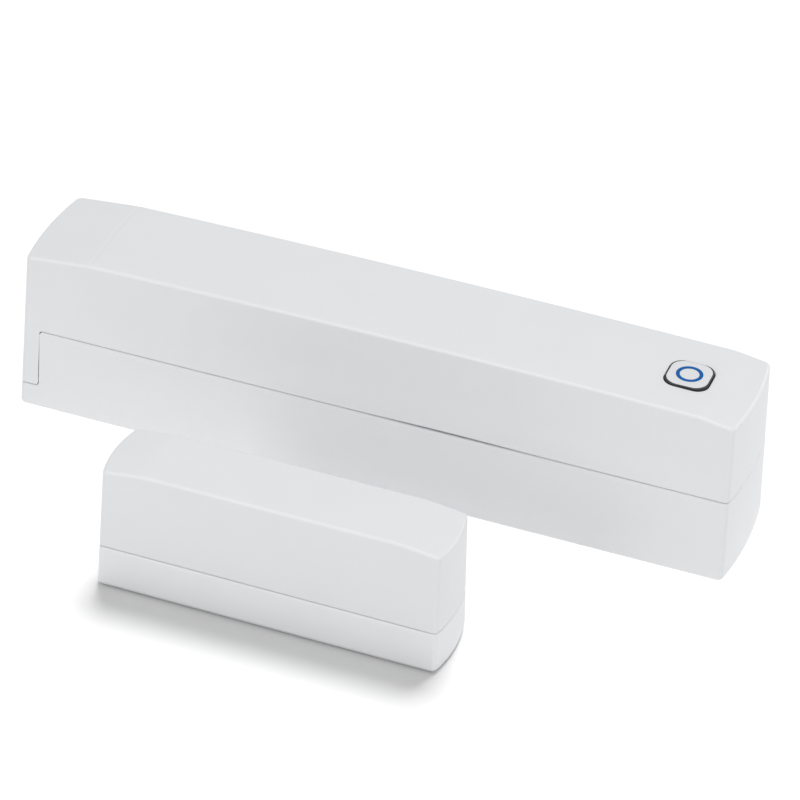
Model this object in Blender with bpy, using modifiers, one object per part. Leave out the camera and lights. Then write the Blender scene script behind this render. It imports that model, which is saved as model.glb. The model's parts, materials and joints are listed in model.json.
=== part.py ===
"""Door contact sensor: a battery-powered sensor unit and the magnet unit that passes it.

Lengths are in millimetres and become metres when a mesh is made. X runs along both units,
Y points away from the magnet unit, Z is up. The origin is the centre of the sensor's mounting face.
"""

import math

import bmesh
import bpy
from mathutils import Matrix, Vector

MM = 0.001
PIECES = "door_contact_sensor"
CUTTERS = "cutters"

# Play between pieces that touch or are assembled, and the smaller one between stacked trim.
GAP = 0.3
THIN_GAP = 0.1
# How far a joined shape reaches into its neighbour, so that the two meet in a volume.
SINK = 0.5
# A length longer than the object, for cutters that run right through.
FAR = 150.0

# Sensor unit: overall size at the seam, and the height of the seam between its two tiers.
SENSOR_LENGTH = 102.0
SENSOR_WIDTH = 18.0
SENSOR_HEIGHT = 25.0
SENSOR_SEAM = 12.5
SENSOR_END_BULGE = 0.75
SENSOR_CORNER = 0.8
SENSOR_DRAFT = 0.032
SENSOR_WALL = 1.5
SENSOR_TOP_FILLET = 0.45
SENSOR_FOOT_FILLET = 0.5
SEAM_STEP = 0.1

# The roof arches along X by this much at 40 from the middle, then slopes off past each crease.
ROOF_ARCH = 0.365
ROOF_ARCH_AT = 40.0
LEFT_CREASE = -40.5
LEFT_DROP = 0.8
LEFT_RUN = 10.0
RIGHT_CREASE = 45.0
RIGHT_DROP = 0.75
RIGHT_RUN = 5.5

# The cover's tongue over the left end: its inner edge on the side walls, and its lower edge.
TONGUE_EDGE = -47.9
TONGUE_FOOT = 3.7
TONGUE_CORNER = 0.7

# Sensor base: floor, recess for the adhesive pad, and the neck behind the tongue.
FLOOR_TOP = 1.9
PAD_LENGTH = 87.0
PAD_WIDTH = 13.6
PAD_THICKNESS = 0.6
CAVITY_LEFT = -46.3
CAVITY_RIGHT = 49.3
CAVITY_HALF_WIDTH = 7.5
NECK_LEFT = -48.4
NECK_HALF_WIDTH = 7.0
NECK_WALL = 1.2
RIB_THICKNESS = 1.2
SADDLES_AT = (-30.0, -8.0, 14.0, 36.0)
BOARD_FINS_AT = (-40.0, 3.0, 43.0)
BOARD_FIN_THICKNESS = 1.6
BOARD_FIN_TOP = 6.0
BOARD_RIBS_AT = (-22.0, 20.0)
SENSOR_LIP_SPAN = (-40.0, 44.0)
END_LIP_X = 48.4
END_LIP_HALF_SPAN = 6.2

# Two AAA cells in line.
CELL_LENGTH = 44.5
CELL_RADIUS = 5.25
CELL_NUB_RADIUS = 1.9
CELL_NUB_HEIGHT = 1.1
CELL_Y = -1.9
CELL_Z = FLOOR_TOP + GAP + CELL_RADIUS
PLATE_THICKNESS = 0.4
PLATE_LEFT_OF_CELL = 3.9
PLATE_BELOW_CELL = 4.2
PLATE_ABOVE_CELL = 3.2
TAB_LENGTH = 3.6
TAB_HALF_HEIGHT = 1.6
SPRING_WIRE = 0.25
SPRING_WIDE = 3.6
SPRING_NARROW = 2.2
SPRING_TURNS = 4
SPRING_POINTS_A_TURN = 12

# Circuit board, standing on edge along the back wall.
BOARD_LEFT = -45.6
BOARD_RIGHT = 47.6
BOARD_FRONT = 5.5
BOARD_THICKNESS = 1.0
BOARD_BOTTOM = FLOOR_TOP + GAP
BOARD_TOP = 21.6
PART_BACK = BOARD_FRONT - GAP

# Button, its tact switch below, and their common travel.
BUTTON_X = 41.15
BUTTON_Y = -0.1
BUTTON_APERTURE = 6.3
BUTTON_COLLAR = 5.9
BUTTON_CAP = 5.6
BUTTON_CORNER = 1.8
CAP_PROUD = 0.3
CAP_THICKNESS = 0.3
CAP_EDGE = 0.1
RING_RADIUS = 1.8
RING_LINE = 0.5
RING_THICKNESS = 0.1
BUTTON_FLANGE = 8.3
FLANGE_CORNER = 1.0
FLANGE_THICKNESS = 0.8
GUIDE_WALL = 0.8
GUIDE_BOTTOM = 21.4
STEM_BOTTOM = 20.1
STEM_SIZE = 3.6
STEM_CORNER = 0.6
TACT_SIZE = 6.0
TACT_Y = 0.9
TACT_BOTTOM = 14.2
TACT_TOP = 17.7
BRACKET_MARGIN = 0.6
PLUNGER_RADIUS = 1.5
PLUNGER_RISE = 2.1
PLUNGER_DEPTH = 1.2

# Reed switch, level with the bar magnet and opposite its middle.
MAGNET_X = -0.7
REED_Y = 3.9
REED_Z = 15.5
REED_LENGTH = 14.0
REED_RADIUS = 1.1
REED_BORE = 0.75
REED_LEAD = 0.25
LEAD_REACH = 2.6
BLADE_THICKNESS = 0.16
BLADE_HALF_WIDTH = 0.4
BLADE_NECK_HALF_WIDTH = 0.2
BLADE_OVERLAP = 0.8
BLADE_OFFSET = 0.08

# Magnet unit, standing parallel to the sensor in front of it.
MAGNET_Y = -37.0
MAGNET_LENGTH = 48.0
MAGNET_WIDTH = 11.4
MAGNET_HEIGHT = 18.6
MAGNET_SEAM = 6.3
MAGNET_END_BULGE = 0.75
MAGNET_CORNER = 0.8
MAGNET_DRAFT = 0.026
MAGNET_WALL = 1.2
MAGNET_TOP_FILLET = 0.4
MAGNET_CREASE = 17.4
MAGNET_DROP = 0.75
MAGNET_RUN = 6.0
BAR_LENGTH = 30.0
BAR_WIDTH = 5.0
BAR_BOTTOM = 10.0
BAR_TOP = 16.0
POST_THICKNESS = 3.2
POST_GRIP = 3.0
MAGNET_LONG_LIP_HALF = 20.5
MAGNET_SHORT_LIP_HALF = 3.4
MAGNET_PAD_LENGTH = 40.0
MAGNET_PAD_WIDTH = 7.4

# The lip that stands up inside a seam and locates the cover over it.
LIP_THICKNESS = 0.4
LIP_RISE = 1.0
LIP_FOOT = 1.0

# Meander antenna.
ANTENNA_START = -32.6
ANTENNA_PITCH = 1.3
ANTENNA_RUNS = 9
ANTENNA_BOTTOM = 14.0
ANTENNA_TOP = 20.4
ANTENNA_RADIUS = 0.2


# ---------------------------------------------------------------- scene, materials, objects


def clear_scene():
    for obj in list(bpy.data.objects):
        bpy.data.objects.remove(obj, do_unlink=True)


def make_collection(name):
    collection = bpy.data.collections.new(name)
    bpy.context.scene.collection.children.link(collection)
    return collection


def make_material(name, color, roughness, metallic=0.0):
    material = bpy.data.materials.new(name)
    material.use_nodes = True
    shader = material.node_tree.nodes["Principled BSDF"]
    shader.inputs["Base Color"].default_value = (*color, 1.0)
    shader.inputs["Roughness"].default_value = roughness
    shader.inputs["Metallic"].default_value = metallic
    return material


def link_piece(obj, material):
    """Puts an object among the pieces, with its material."""
    bpy.data.collections[PIECES].objects.link(obj)
    obj.data.materials.append(material)
    return obj


def link_cutter(obj):
    """Puts an object among the cutters, which no render shows."""
    bpy.data.collections[CUTTERS].objects.link(obj)
    obj.hide_render = True
    obj.display_type = "WIRE"
    return obj


def object_from(name, bm, origin=(0.0, 0.0, 0.0)):
    """Closes a bmesh measured in millimetres and returns it as an object with the given origin."""
    bmesh.ops.translate(bm, vec=-Vector(origin), verts=bm.verts)
    bmesh.ops.scale(bm, vec=(MM, MM, MM), verts=bm.verts)
    bmesh.ops.recalc_face_normals(bm, faces=bm.faces)
    mesh = bpy.data.meshes.new(name)
    bm.to_mesh(mesh)
    bm.free()
    obj = bpy.data.objects.new(name, mesh)
    obj.location = Vector(origin) * MM
    return obj


def smooth(obj, angle=35.0):
    obj.data.shade_smooth()
    obj.data.set_sharp_from_angle(angle=math.radians(angle))
    return obj


def boolean(obj, other, operation="DIFFERENCE"):
    modifier = obj.modifiers.new(f"{operation.lower()} {other.name}", "BOOLEAN")
    modifier.operation = operation
    modifier.object = other
    return obj


def bevel(obj, width, segments=2):
    modifier = obj.modifiers.new("edges", "BEVEL")
    modifier.width = width * MM
    modifier.segments = segments
    modifier.limit_method = "ANGLE"
    return obj


def hang_on(empty_name, origin, *pieces):
    """Parents the pieces of one moving body to an empty on its joint's axis."""
    empty = bpy.data.objects.new(empty_name, None)
    empty.location = Vector(origin) * MM
    empty.empty_display_size = 0.005
    bpy.data.collections[PIECES].objects.link(empty)
    for piece in pieces:
        piece.parent = empty
        piece.location -= empty.location
    return empty


# ---------------------------------------------------------------- plain shapes


def box_mesh(low, high):
    bm = bmesh.new()
    low, high = Vector(low), Vector(high)
    size = Matrix.Diagonal((*(high - low), 1.0))
    bmesh.ops.create_cube(bm, size=1.0, matrix=Matrix.Translation((low + high) / 2) @ size)
    return bm


def box(name, low, high, material=None, edge=0.0):
    """A box between two corners, as a piece if it has a material and else as a cutter."""
    obj = object_from(name, box_mesh(low, high))
    if edge:
        bevel(obj, edge)
    return link_piece(obj, material) if material else link_cutter(obj)


def cylinder_mesh(radius, start, end, segments=32):
    """A capped cylinder between two points."""
    bm = bmesh.new()
    start, end = Vector(start), Vector(end)
    along = end - start
    turn = along.to_track_quat("Z", "Y").to_matrix().to_4x4()
    bmesh.ops.create_cone(
        bm,
        cap_ends=True,
        segments=segments,
        radius1=radius,
        radius2=radius,
        depth=along.length,
        matrix=Matrix.Translation((start + end) / 2) @ turn,
    )
    return bm


def prism_mesh(outline, low, high, axis="Z"):
    """An outline swept straight from low to high along Z, or along Y where it lies in XZ."""
    bm = bmesh.new()
    place = (lambda p, h: (p[0], p[1], h)) if axis == "Z" else (lambda p, h: (p[0], h, p[1]))
    bottom = [bm.verts.new(place(p, low)) for p in outline]
    top = [bm.verts.new(place(p, high)) for p in outline]
    bm.faces.new(bottom)
    bm.faces.new(top)
    for i in range(len(outline)):
        j = (i + 1) % len(outline)
        bm.faces.new((bottom[i], bottom[j], top[j], top[i]))
    return bm


def arc(center, radius, start, end, steps):
    """Points on an arc, with its angles in degrees."""
    angles = [math.radians(start + (end - start) * i / steps) for i in range(steps + 1)]
    return [(center[0] + radius * math.cos(a), center[1] + radius * math.sin(a)) for a in angles]


def rounded_square(center, size, corner, steps=5):
    half = size / 2 - corner
    points = []
    for turn, (sx, sy) in enumerate(((1, 1), (-1, 1), (-1, -1), (1, -1))):
        middle = (center[0] + sx * half, center[1] + sy * half)
        points += arc(middle, corner, 90.0 * turn, 90.0 * turn + 90.0, steps)
    return points


def turned(name, profile, origin, material, steps=32, toward_x=False):
    """A profile of radius and height pairs, listed from the top down, turned about its axis."""
    mesh = bpy.data.meshes.new(name)
    points = [(radius * MM, 0.0, height * MM) for radius, height in profile]
    closed = profile[0][0] > 0.0
    count = len(points)
    edges = [(i, (i + 1) % count) for i in range(count if closed else count - 1)]
    mesh.from_pydata(points, edges, [])
    obj = bpy.data.objects.new(name, mesh)
    obj.location = Vector(origin) * MM
    if toward_x:
        obj.rotation_euler = (0.0, math.pi / 2, 0.0)
    screw = obj.modifiers.new("turn", "SCREW")
    screw.steps = steps
    screw.render_steps = steps
    screw.use_merge_vertices = True
    screw.merge_threshold = 1e-5
    screw.use_smooth_shade = True
    return link_piece(obj, material)


def wire_curve(name, points, radius):
    """A round wire along a list of points, its ends capped."""
    curve = bpy.data.curves.new(name, "CURVE")
    curve.dimensions = "3D"
    curve.bevel_depth = radius * MM
    curve.bevel_resolution = 2
    curve.use_fill_caps = True
    spline = curve.splines.new("POLY")
    spline.points.add(len(points) - 1)
    for slot, point in zip(spline.points, points):
        slot.co = (*(Vector(point) * MM), 1.0)
    return bpy.data.objects.new(name, curve)


def wire_mesh(name, points, radius):
    """The same wire as a mesh, so that other shapes can be joined to it."""
    wire = wire_curve(name + "_wire", points, radius)
    bpy.data.collections[PIECES].objects.link(wire)
    bpy.context.view_layer.update()
    graph = bpy.context.evaluated_depsgraph_get()
    mesh = bpy.data.meshes.new_from_object(wire.evaluated_get(graph))
    mesh.name = name
    bm = bmesh.new()
    bm.from_mesh(mesh)
    bmesh.ops.remove_doubles(bm, verts=bm.verts, dist=1e-7)
    bmesh.ops.recalc_face_normals(bm, faces=bm.faces)
    bm.to_mesh(mesh)
    bm.free()
    obj = bpy.data.objects.new(name, mesh)
    obj.matrix_world = wire.matrix_world.copy()
    bpy.data.objects.remove(wire, do_unlink=True)
    return obj


# ---------------------------------------------------------------- housings


def front_outline(plan, inset):
    """The front half of a housing's plan, from its left tip to its right tip, drawn in by inset.

    plan is (length, width, end bulge, corner radius, stations); stations are the X values of
    points along the straight side. Each end is a shallow arc joined to the side by a fillet.
    """
    length, width, bulge, corner, stations = plan
    half_width = width / 2 - inset
    tip = length / 2 - inset
    end_radius = (half_width**2 + bulge**2) / (2 * bulge)
    middle = tip - end_radius
    reach = half_width - corner
    swing = math.asin(reach / (end_radius - corner))
    corner_x = middle + (end_radius - corner) * math.cos(swing)
    end_steps, corner_steps = 4, 4
    end = arc((middle, 0.0), end_radius, 0.0, -math.degrees(swing), end_steps)
    fillet = arc((corner_x, -reach), corner, -math.degrees(swing), -90.0, corner_steps)[1:]
    right = list(reversed(end + fillet))
    left = [(-x, y) for x, y in reversed(right)]
    return left + [(x, -half_width) for x in stations] + right


def ring(plan, center, inset, height):
    """A closed ring of points at one level of a housing; height is a number or a function of x."""
    front = front_outline(plan, inset)
    back = [(x, -y) for x, y in reversed(front[1:-1])]
    rise = height if callable(height) else (lambda x: height)
    return [(x + center[0], y + center[1], rise(x)) for x, y in front + back]


def loft_mesh(rings):
    """A closed skin over rings of equal length, its two caps laid in strips across the width."""
    bm = bmesh.new()
    rows = [[bm.verts.new(point) for point in points] for points in rings]
    count = len(rows[0])
    for lower, upper in zip(rows, rows[1:]):
        for i in range(count):
            j = (i + 1) % count
            bm.faces.new((lower[i], lower[j], upper[j], upper[i]))
    for row in (rows[0], rows[-1]):
        last = count // 2
        for i in range(last):
            corners = [row[i], row[i + 1], row[-i - 1], row[-i] if i else row[0]]
            bm.faces.new(list(dict.fromkeys(corners)))
    return bm


def sensor_stations():
    """Points along the sensor's sides: close enough for the arch, and one on each crease."""
    spans = 9
    step = (RIGHT_CREASE - LEFT_CREASE) / spans
    return [LEFT_CREASE - step / 2, *[LEFT_CREASE + step * i for i in range(spans + 1)]]


def sensor_roof(x):
    height = SENSOR_HEIGHT - ROOF_ARCH * (x / ROOF_ARCH_AT) ** 2
    height -= LEFT_DROP * max(0.0, LEFT_CREASE - x) / LEFT_RUN
    return height - RIGHT_DROP * max(0.0, x - RIGHT_CREASE) / RIGHT_RUN


def magnet_roof(x):
    return MAGNET_HEIGHT - MAGNET_DROP * max(0.0, abs(x) - MAGNET_CREASE) / MAGNET_RUN


SENSOR_PLAN = (SENSOR_LENGTH, SENSOR_WIDTH, SENSOR_END_BULGE, SENSOR_CORNER, sensor_stations())
INSIDE_CORNER = 0.5
SENSOR_HOLLOW_PLAN = (*SENSOR_PLAN[:3], INSIDE_CORNER, SENSOR_PLAN[4])
MAGNET_PLAN = (
    MAGNET_LENGTH,
    MAGNET_WIDTH,
    MAGNET_END_BULGE,
    MAGNET_CORNER,
    [-MAGNET_CREASE, 0.0, MAGNET_CREASE],
)
MAGNET_HOLLOW_PLAN = (*MAGNET_PLAN[:3], INSIDE_CORNER, MAGNET_PLAN[4])


def cover_rings(plan, center, low, seam, draft, roof, fillet):
    """Rings of a cover's outside: a drafted wall, then a quarter-round up to the arched roof."""
    rings = [ring(plan, center, draft * (low - seam), low)]
    wall_inset = draft * (roof(0.0) - fillet - seam)
    steps = 4
    for i in range(steps + 1):
        turn = math.radians(90.0 * i / steps)
        inset = wall_inset + fillet * (1 - math.cos(turn))
        rise = fillet * (1 - math.sin(turn))
        rings.append(ring(plan, center, inset, lambda x, rise=rise: roof(x) - rise))
    return rings


def cavity_rings(plan, center, low, seam, draft, roof, wall):
    """Rings of the hollow inside a cover: the same form, drawn in by the wall."""
    top_inset = wall + draft * (roof(0.0) - wall - seam)
    bottom = ring(plan, center, wall + draft * (low - seam), low)
    top = ring(plan, center, top_inset, lambda x: roof(x) - wall)
    return [bottom, top]


def tray_rings(plan, center, top, seam, draft, step, foot):
    """Rings of a tray's outside: a rounded foot, a drafted wall and a softened upper rim."""
    rings = []
    steps = 3
    for i in range(steps + 1):
        turn = math.radians(90.0 * i / steps)
        height = foot * (1 - math.sin(turn))
        inset = step - draft * (seam - foot) + foot * (1 - math.cos(turn))
        rings.append(ring(plan, center, inset, height))
    rings.reverse()
    rim = 0.25
    rings.append(ring(plan, center, step, top - rim))
    rings.append(ring(plan, center, step + rim, top))
    return rings


# ---------------------------------------------------------------- sensor unit, outside


def sensor_cover(plastic):
    center = (0.0, 0.0)
    outside = cover_rings(
        SENSOR_PLAN, center, TONGUE_FOOT, SENSOR_SEAM, SENSOR_DRAFT, sensor_roof, SENSOR_TOP_FILLET
    )
    cover = smooth(object_from("sensor_cover", loft_mesh(outside)))
    link_piece(cover, plastic)

    hollow = cavity_rings(
        SENSOR_HOLLOW_PLAN, center, 0.0, SENSOR_SEAM, SENSOR_DRAFT, sensor_roof, SENSOR_WALL
    )
    boolean(cover, link_cutter(object_from("cover_hollow", loft_mesh(hollow))))

    # The side walls stop at the seam, and only the tongue over the left end goes on down.
    rim = SENSOR_SEAM + GAP / 2
    bend = (TONGUE_EDGE + TONGUE_CORNER, rim - TONGUE_CORNER)
    corner = arc(bend, TONGUE_CORNER, 180.0, 90.0, 4)
    profile = [(TONGUE_EDGE, 0.0), *corner, (FAR, rim), (FAR, 0.0)]
    below = prism_mesh(profile, -FAR, FAR, axis="Y")
    boolean(cover, link_cutter(object_from("below_seam", below)))

    # A square guide hangs from the roof around the button's flange.
    middle = (BUTTON_X, BUTTON_Y)
    under_roof = sensor_roof(BUTTON_X) - SENSOR_WALL
    well_size = BUTTON_FLANGE + 2 * GAP
    outline = rounded_square(middle, well_size + 2 * GUIDE_WALL, FLANGE_CORNER + GUIDE_WALL)
    guide = prism_mesh(outline, GUIDE_BOTTOM, under_roof + THIN_GAP)
    boolean(cover, link_cutter(object_from("button_guide", guide)), "UNION")
    outline = rounded_square(middle, well_size, FLANGE_CORNER)
    well = prism_mesh(outline, GUIDE_BOTTOM - SINK, under_roof)
    boolean(cover, link_cutter(object_from("button_well", well)))
    outline = rounded_square(middle, BUTTON_APERTURE, BUTTON_CORNER)
    opening = prism_mesh(outline, under_roof - SINK, SENSOR_HEIGHT + SINK)
    boolean(cover, link_cutter(object_from("button_opening", opening)))

    # Two ribs under the roof keep the circuit board down on its rails.
    half = RIB_THICKNESS / 2
    for i, x in enumerate(BOARD_RIBS_AT):
        low = (x - half, BOARD_FRONT - SINK, BOARD_TOP + GAP)
        high = (x + half, CAVITY_HALF_WIDTH, SENSOR_HEIGHT - SENSOR_WALL + GAP)
        boolean(cover, box(f"board_rib_{i + 1}", low, high), "UNION")
    return cover


def sensor_base(plastic):
    center = (0.0, 0.0)
    top = SENSOR_SEAM - GAP / 2
    outside = tray_rings(
        SENSOR_PLAN, center, top, SENSOR_SEAM, SENSOR_DRAFT, SEAM_STEP, SENSOR_FOOT_FILLET
    )
    base = smooth(object_from("sensor_base", loft_mesh(outside)))
    link_piece(base, plastic)

    # Room for the cover's tongue, then a narrower neck that closes the left end behind it.
    edge = TONGUE_EDGE + GAP
    ledge = TONGUE_FOOT - GAP
    boolean(base, box("tongue_room", (-FAR, -FAR, ledge), (edge, FAR, FAR)))
    neck_low = (NECK_LEFT, -NECK_HALF_WIDTH, ledge - 2 * SINK)
    neck_high = (CAVITY_LEFT + 2 * SINK, NECK_HALF_WIDTH, top - GAP)
    boolean(base, box("neck", neck_low, neck_high, edge=0.5), "UNION")

    # Battery bay, with its end inside the neck.
    bay_low = (CAVITY_LEFT, -CAVITY_HALF_WIDTH, FLOOR_TOP)
    bay_high = (CAVITY_RIGHT, CAVITY_HALF_WIDTH, FAR)
    boolean(base, box("battery_bay", bay_low, bay_high))
    neck_inside = NECK_HALF_WIDTH - NECK_WALL
    end_low = (NECK_LEFT + NECK_WALL, -neck_inside, FLOOR_TOP + 2 * THIN_GAP)
    end_high = (CAVITY_LEFT + 2 * SINK, neck_inside, FAR - SINK)
    boolean(base, box("bay_end", end_low, end_high))

    # Cross ribs cut to the cells' round sides.
    half = RIB_THICKNESS / 2
    for i, x in enumerate(SADDLES_AT):
        low = (x - half, -CAVITY_HALF_WIDTH - SINK, FLOOR_TOP - SINK)
        high = (x + half, BOARD_FRONT - 3 * SINK, CELL_Z - 2 * SINK)
        boolean(base, box(f"saddle_{i + 1}", low, high), "UNION")
    start = (SADDLES_AT[0] - RIB_THICKNESS, CELL_Y, CELL_Z)
    end = (SADDLES_AT[-1] + RIB_THICKNESS, CELL_Y, CELL_Z)
    room = cylinder_mesh(CELL_RADIUS + 0.8 * GAP, start, end)
    boolean(base, link_cutter(object_from("cell_room", room)))

    # Pairs of fins hold the board upright near its ends and its middle.
    half = BOARD_FIN_THICKNESS / 2
    for i, x in enumerate(BOARD_FINS_AT):
        low = (x - half, BOARD_FRONT - GAP - 2 * SINK, FLOOR_TOP - SINK)
        high = (x + half, CAVITY_HALF_WIDTH + SINK, BOARD_FIN_TOP)
        boolean(base, box(f"board_fin_{i + 1}", low, high), "UNION")
    slot_low = (BOARD_LEFT - GAP, BOARD_FRONT - GAP, FLOOR_TOP + THIN_GAP)
    slot_high = (BOARD_RIGHT + GAP, BOARD_FRONT + BOARD_THICKNESS + GAP, SENSOR_SEAM)
    boolean(base, box("board_slot", slot_low, slot_high))

    for name, side in (("front_lip", -1), ("back_lip", 1)):
        wall = side * CAVITY_HALF_WIDTH
        add_lip(base, name, SENSOR_LIP_SPAN, (wall, wall - side * (GAP + LIP_THICKNESS)), top)
    span = (-END_LIP_HALF_SPAN, END_LIP_HALF_SPAN)
    add_lip(base, "end_lip", (CAVITY_RIGHT, END_LIP_X - LIP_THICKNESS), span, top, along="Y")

    # Recess for the adhesive pad.
    half_length = PAD_LENGTH / 2 + GAP
    half_width = PAD_WIDTH / 2 + GAP
    recess_low = (-half_length, -half_width, -SINK)
    recess_high = (half_length, half_width, PAD_THICKNESS + GAP)
    boolean(base, box("pad_recess", recess_low, recess_high))
    return base


def add_lip(base, name, span_x, span_y, rim, along="X"):
    """A thin lip inside a tray's wall: a foot joined to the wall, and a blade that stands above it.

    The span across the wall runs from the wall's inner face to the lip's inner face.
    """
    across = span_y if along == "X" else span_x
    side = 1.0 if across[0] > across[1] else -1.0
    shy = 0.02
    foot = (across[0] + side * SINK, across[1])
    blade = (across[1] + side * LIP_THICKNESS, across[1] + side * shy)
    for kind, reach, low, high, trim in (
        ("foot", foot, rim - LIP_FOOT, rim - THIN_GAP, 0.0),
        ("blade", blade, rim - LIP_FOOT + THIN_GAP, rim + GAP + LIP_RISE, GAP),
    ):
        long = span_x if along == "X" else span_y
        ends = (long[0] + trim, long[1] - trim)
        xs, ys = (ends, reach) if along == "X" else (reach, ends)
        low_corner = (min(xs), min(ys), low)
        high_corner = (max(xs), max(ys), high)
        boolean(base, box(f"{name}_{kind}", low_corner, high_corner), "UNION")


def adhesive_pad(name, center, length, width, foam):
    half = (length / 2, width / 2)
    low = (center[0] - half[0], center[1] - half[1], 0.0)
    high = (center[0] + half[0], center[1] + half[1], PAD_THICKNESS)
    return box(name, low, high, foam)


# ---------------------------------------------------------------- sensor unit, power


def battery(name, nub_x, wrap):
    """An AAA cell lying along X with its positive nub at nub_x."""
    shoulder = -CELL_NUB_HEIGHT
    rim = 0.35
    profile = [
        (0.0, 0.0),
        (CELL_NUB_RADIUS - 0.2, 0.0),
        (CELL_NUB_RADIUS, -0.2),
        (CELL_NUB_RADIUS, shoulder - 0.15),
        (CELL_RADIUS - 1.0, shoulder - 0.15),
        (CELL_RADIUS - 0.8, shoulder),
        (CELL_RADIUS - rim, shoulder),
        (CELL_RADIUS, shoulder - rim),
        (CELL_RADIUS, -CELL_LENGTH + rim),
        (CELL_RADIUS - rim, -CELL_LENGTH),
        (0.0, -CELL_LENGTH),
    ]
    return turned(name, profile, (nub_x, CELL_Y, CELL_Z), wrap, toward_x=True)


def contact_plate(name, wall_x, side, steel):
    """A flat contact against an end wall, with a tab folded along the board's front."""
    near = wall_x + side * PLATE_THICKNESS
    low = (min(wall_x, near), CELL_Y - PLATE_LEFT_OF_CELL, CELL_Z - PLATE_BELOW_CELL)
    high = (max(wall_x, near), PART_BACK, CELL_Z + PLATE_ABOVE_CELL)
    plate = link_piece(object_from(name, box_mesh(low, high)), steel)
    tip = wall_x + side * TAB_LENGTH
    tab_low = (min(wall_x, tip), PART_BACK - PLATE_THICKNESS, CELL_Z - TAB_HALF_HEIGHT)
    tab_high = (max(wall_x, tip), PART_BACK, CELL_Z + TAB_HALF_HEIGHT)
    return boolean(plate, box(name + "_tab", tab_low, tab_high), "UNION")


def battery_spring(start_x, end_x, steel):
    """A conical coil pressed between the negative contact and the cell."""
    count = SPRING_TURNS * SPRING_POINTS_A_TURN
    points = []
    for i in range(count + 1):
        along = i / count
        angle = 2 * math.pi * SPRING_TURNS * along
        radius = SPRING_WIDE + (SPRING_NARROW - SPRING_WIDE) * along
        x = start_x + (end_x - start_x) * along
        points.append((x, CELL_Y + radius * math.cos(angle), CELL_Z + radius * math.sin(angle)))
    return link_piece(wire_curve("battery_spring", points, SPRING_WIRE), steel)


# ---------------------------------------------------------------- sensor unit, electronics


def circuit_board(laminate):
    low = (BOARD_LEFT, BOARD_FRONT, BOARD_BOTTOM)
    high = (BOARD_RIGHT, BOARD_FRONT + BOARD_THICKNESS, BOARD_TOP)
    return box("circuit_board", low, high, laminate)


def board_part(name, x, z, size, material, edge=0.0):
    """A block on the board's front: its middle in X and Z, and its width, depth and height."""
    width, depth, height = size
    low = (x - width / 2, PART_BACK - depth, z - height / 2)
    high = (x + width / 2, PART_BACK, z + height / 2)
    return box(name, low, high, material, edge)


def radio_shield(x, z, size, steel):
    """A drawn steel can over the radio chip, open toward the board."""
    shield = board_part("radio_shield", x, z, size, steel, edge=0.3)
    width, depth, height = size
    wall = 0.35
    low = (x - width / 2 + wall, PART_BACK - depth + wall, z - height / 2 + wall)
    high = (x + width / 2 - wall, PART_BACK + 1.0, z + height / 2 - wall)
    return boolean(shield, box("shield_hollow", low, high))


def antenna(copper):
    """A meander that starts at the radio and fills the board's left end."""
    y = PART_BACK - ANTENNA_RADIUS
    points = [(ANTENNA_START, y, ANTENNA_BOTTOM)]
    for i in range(ANTENNA_RUNS):
        x = ANTENNA_START - ANTENNA_PITCH * (i + 0.6)
        ends = [(x, y, ANTENNA_BOTTOM), (x, y, ANTENNA_TOP)]
        points += ends if i % 2 == 0 else reversed(ends)
    return link_piece(wire_curve("antenna", points, ANTENNA_RADIUS), copper)


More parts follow.
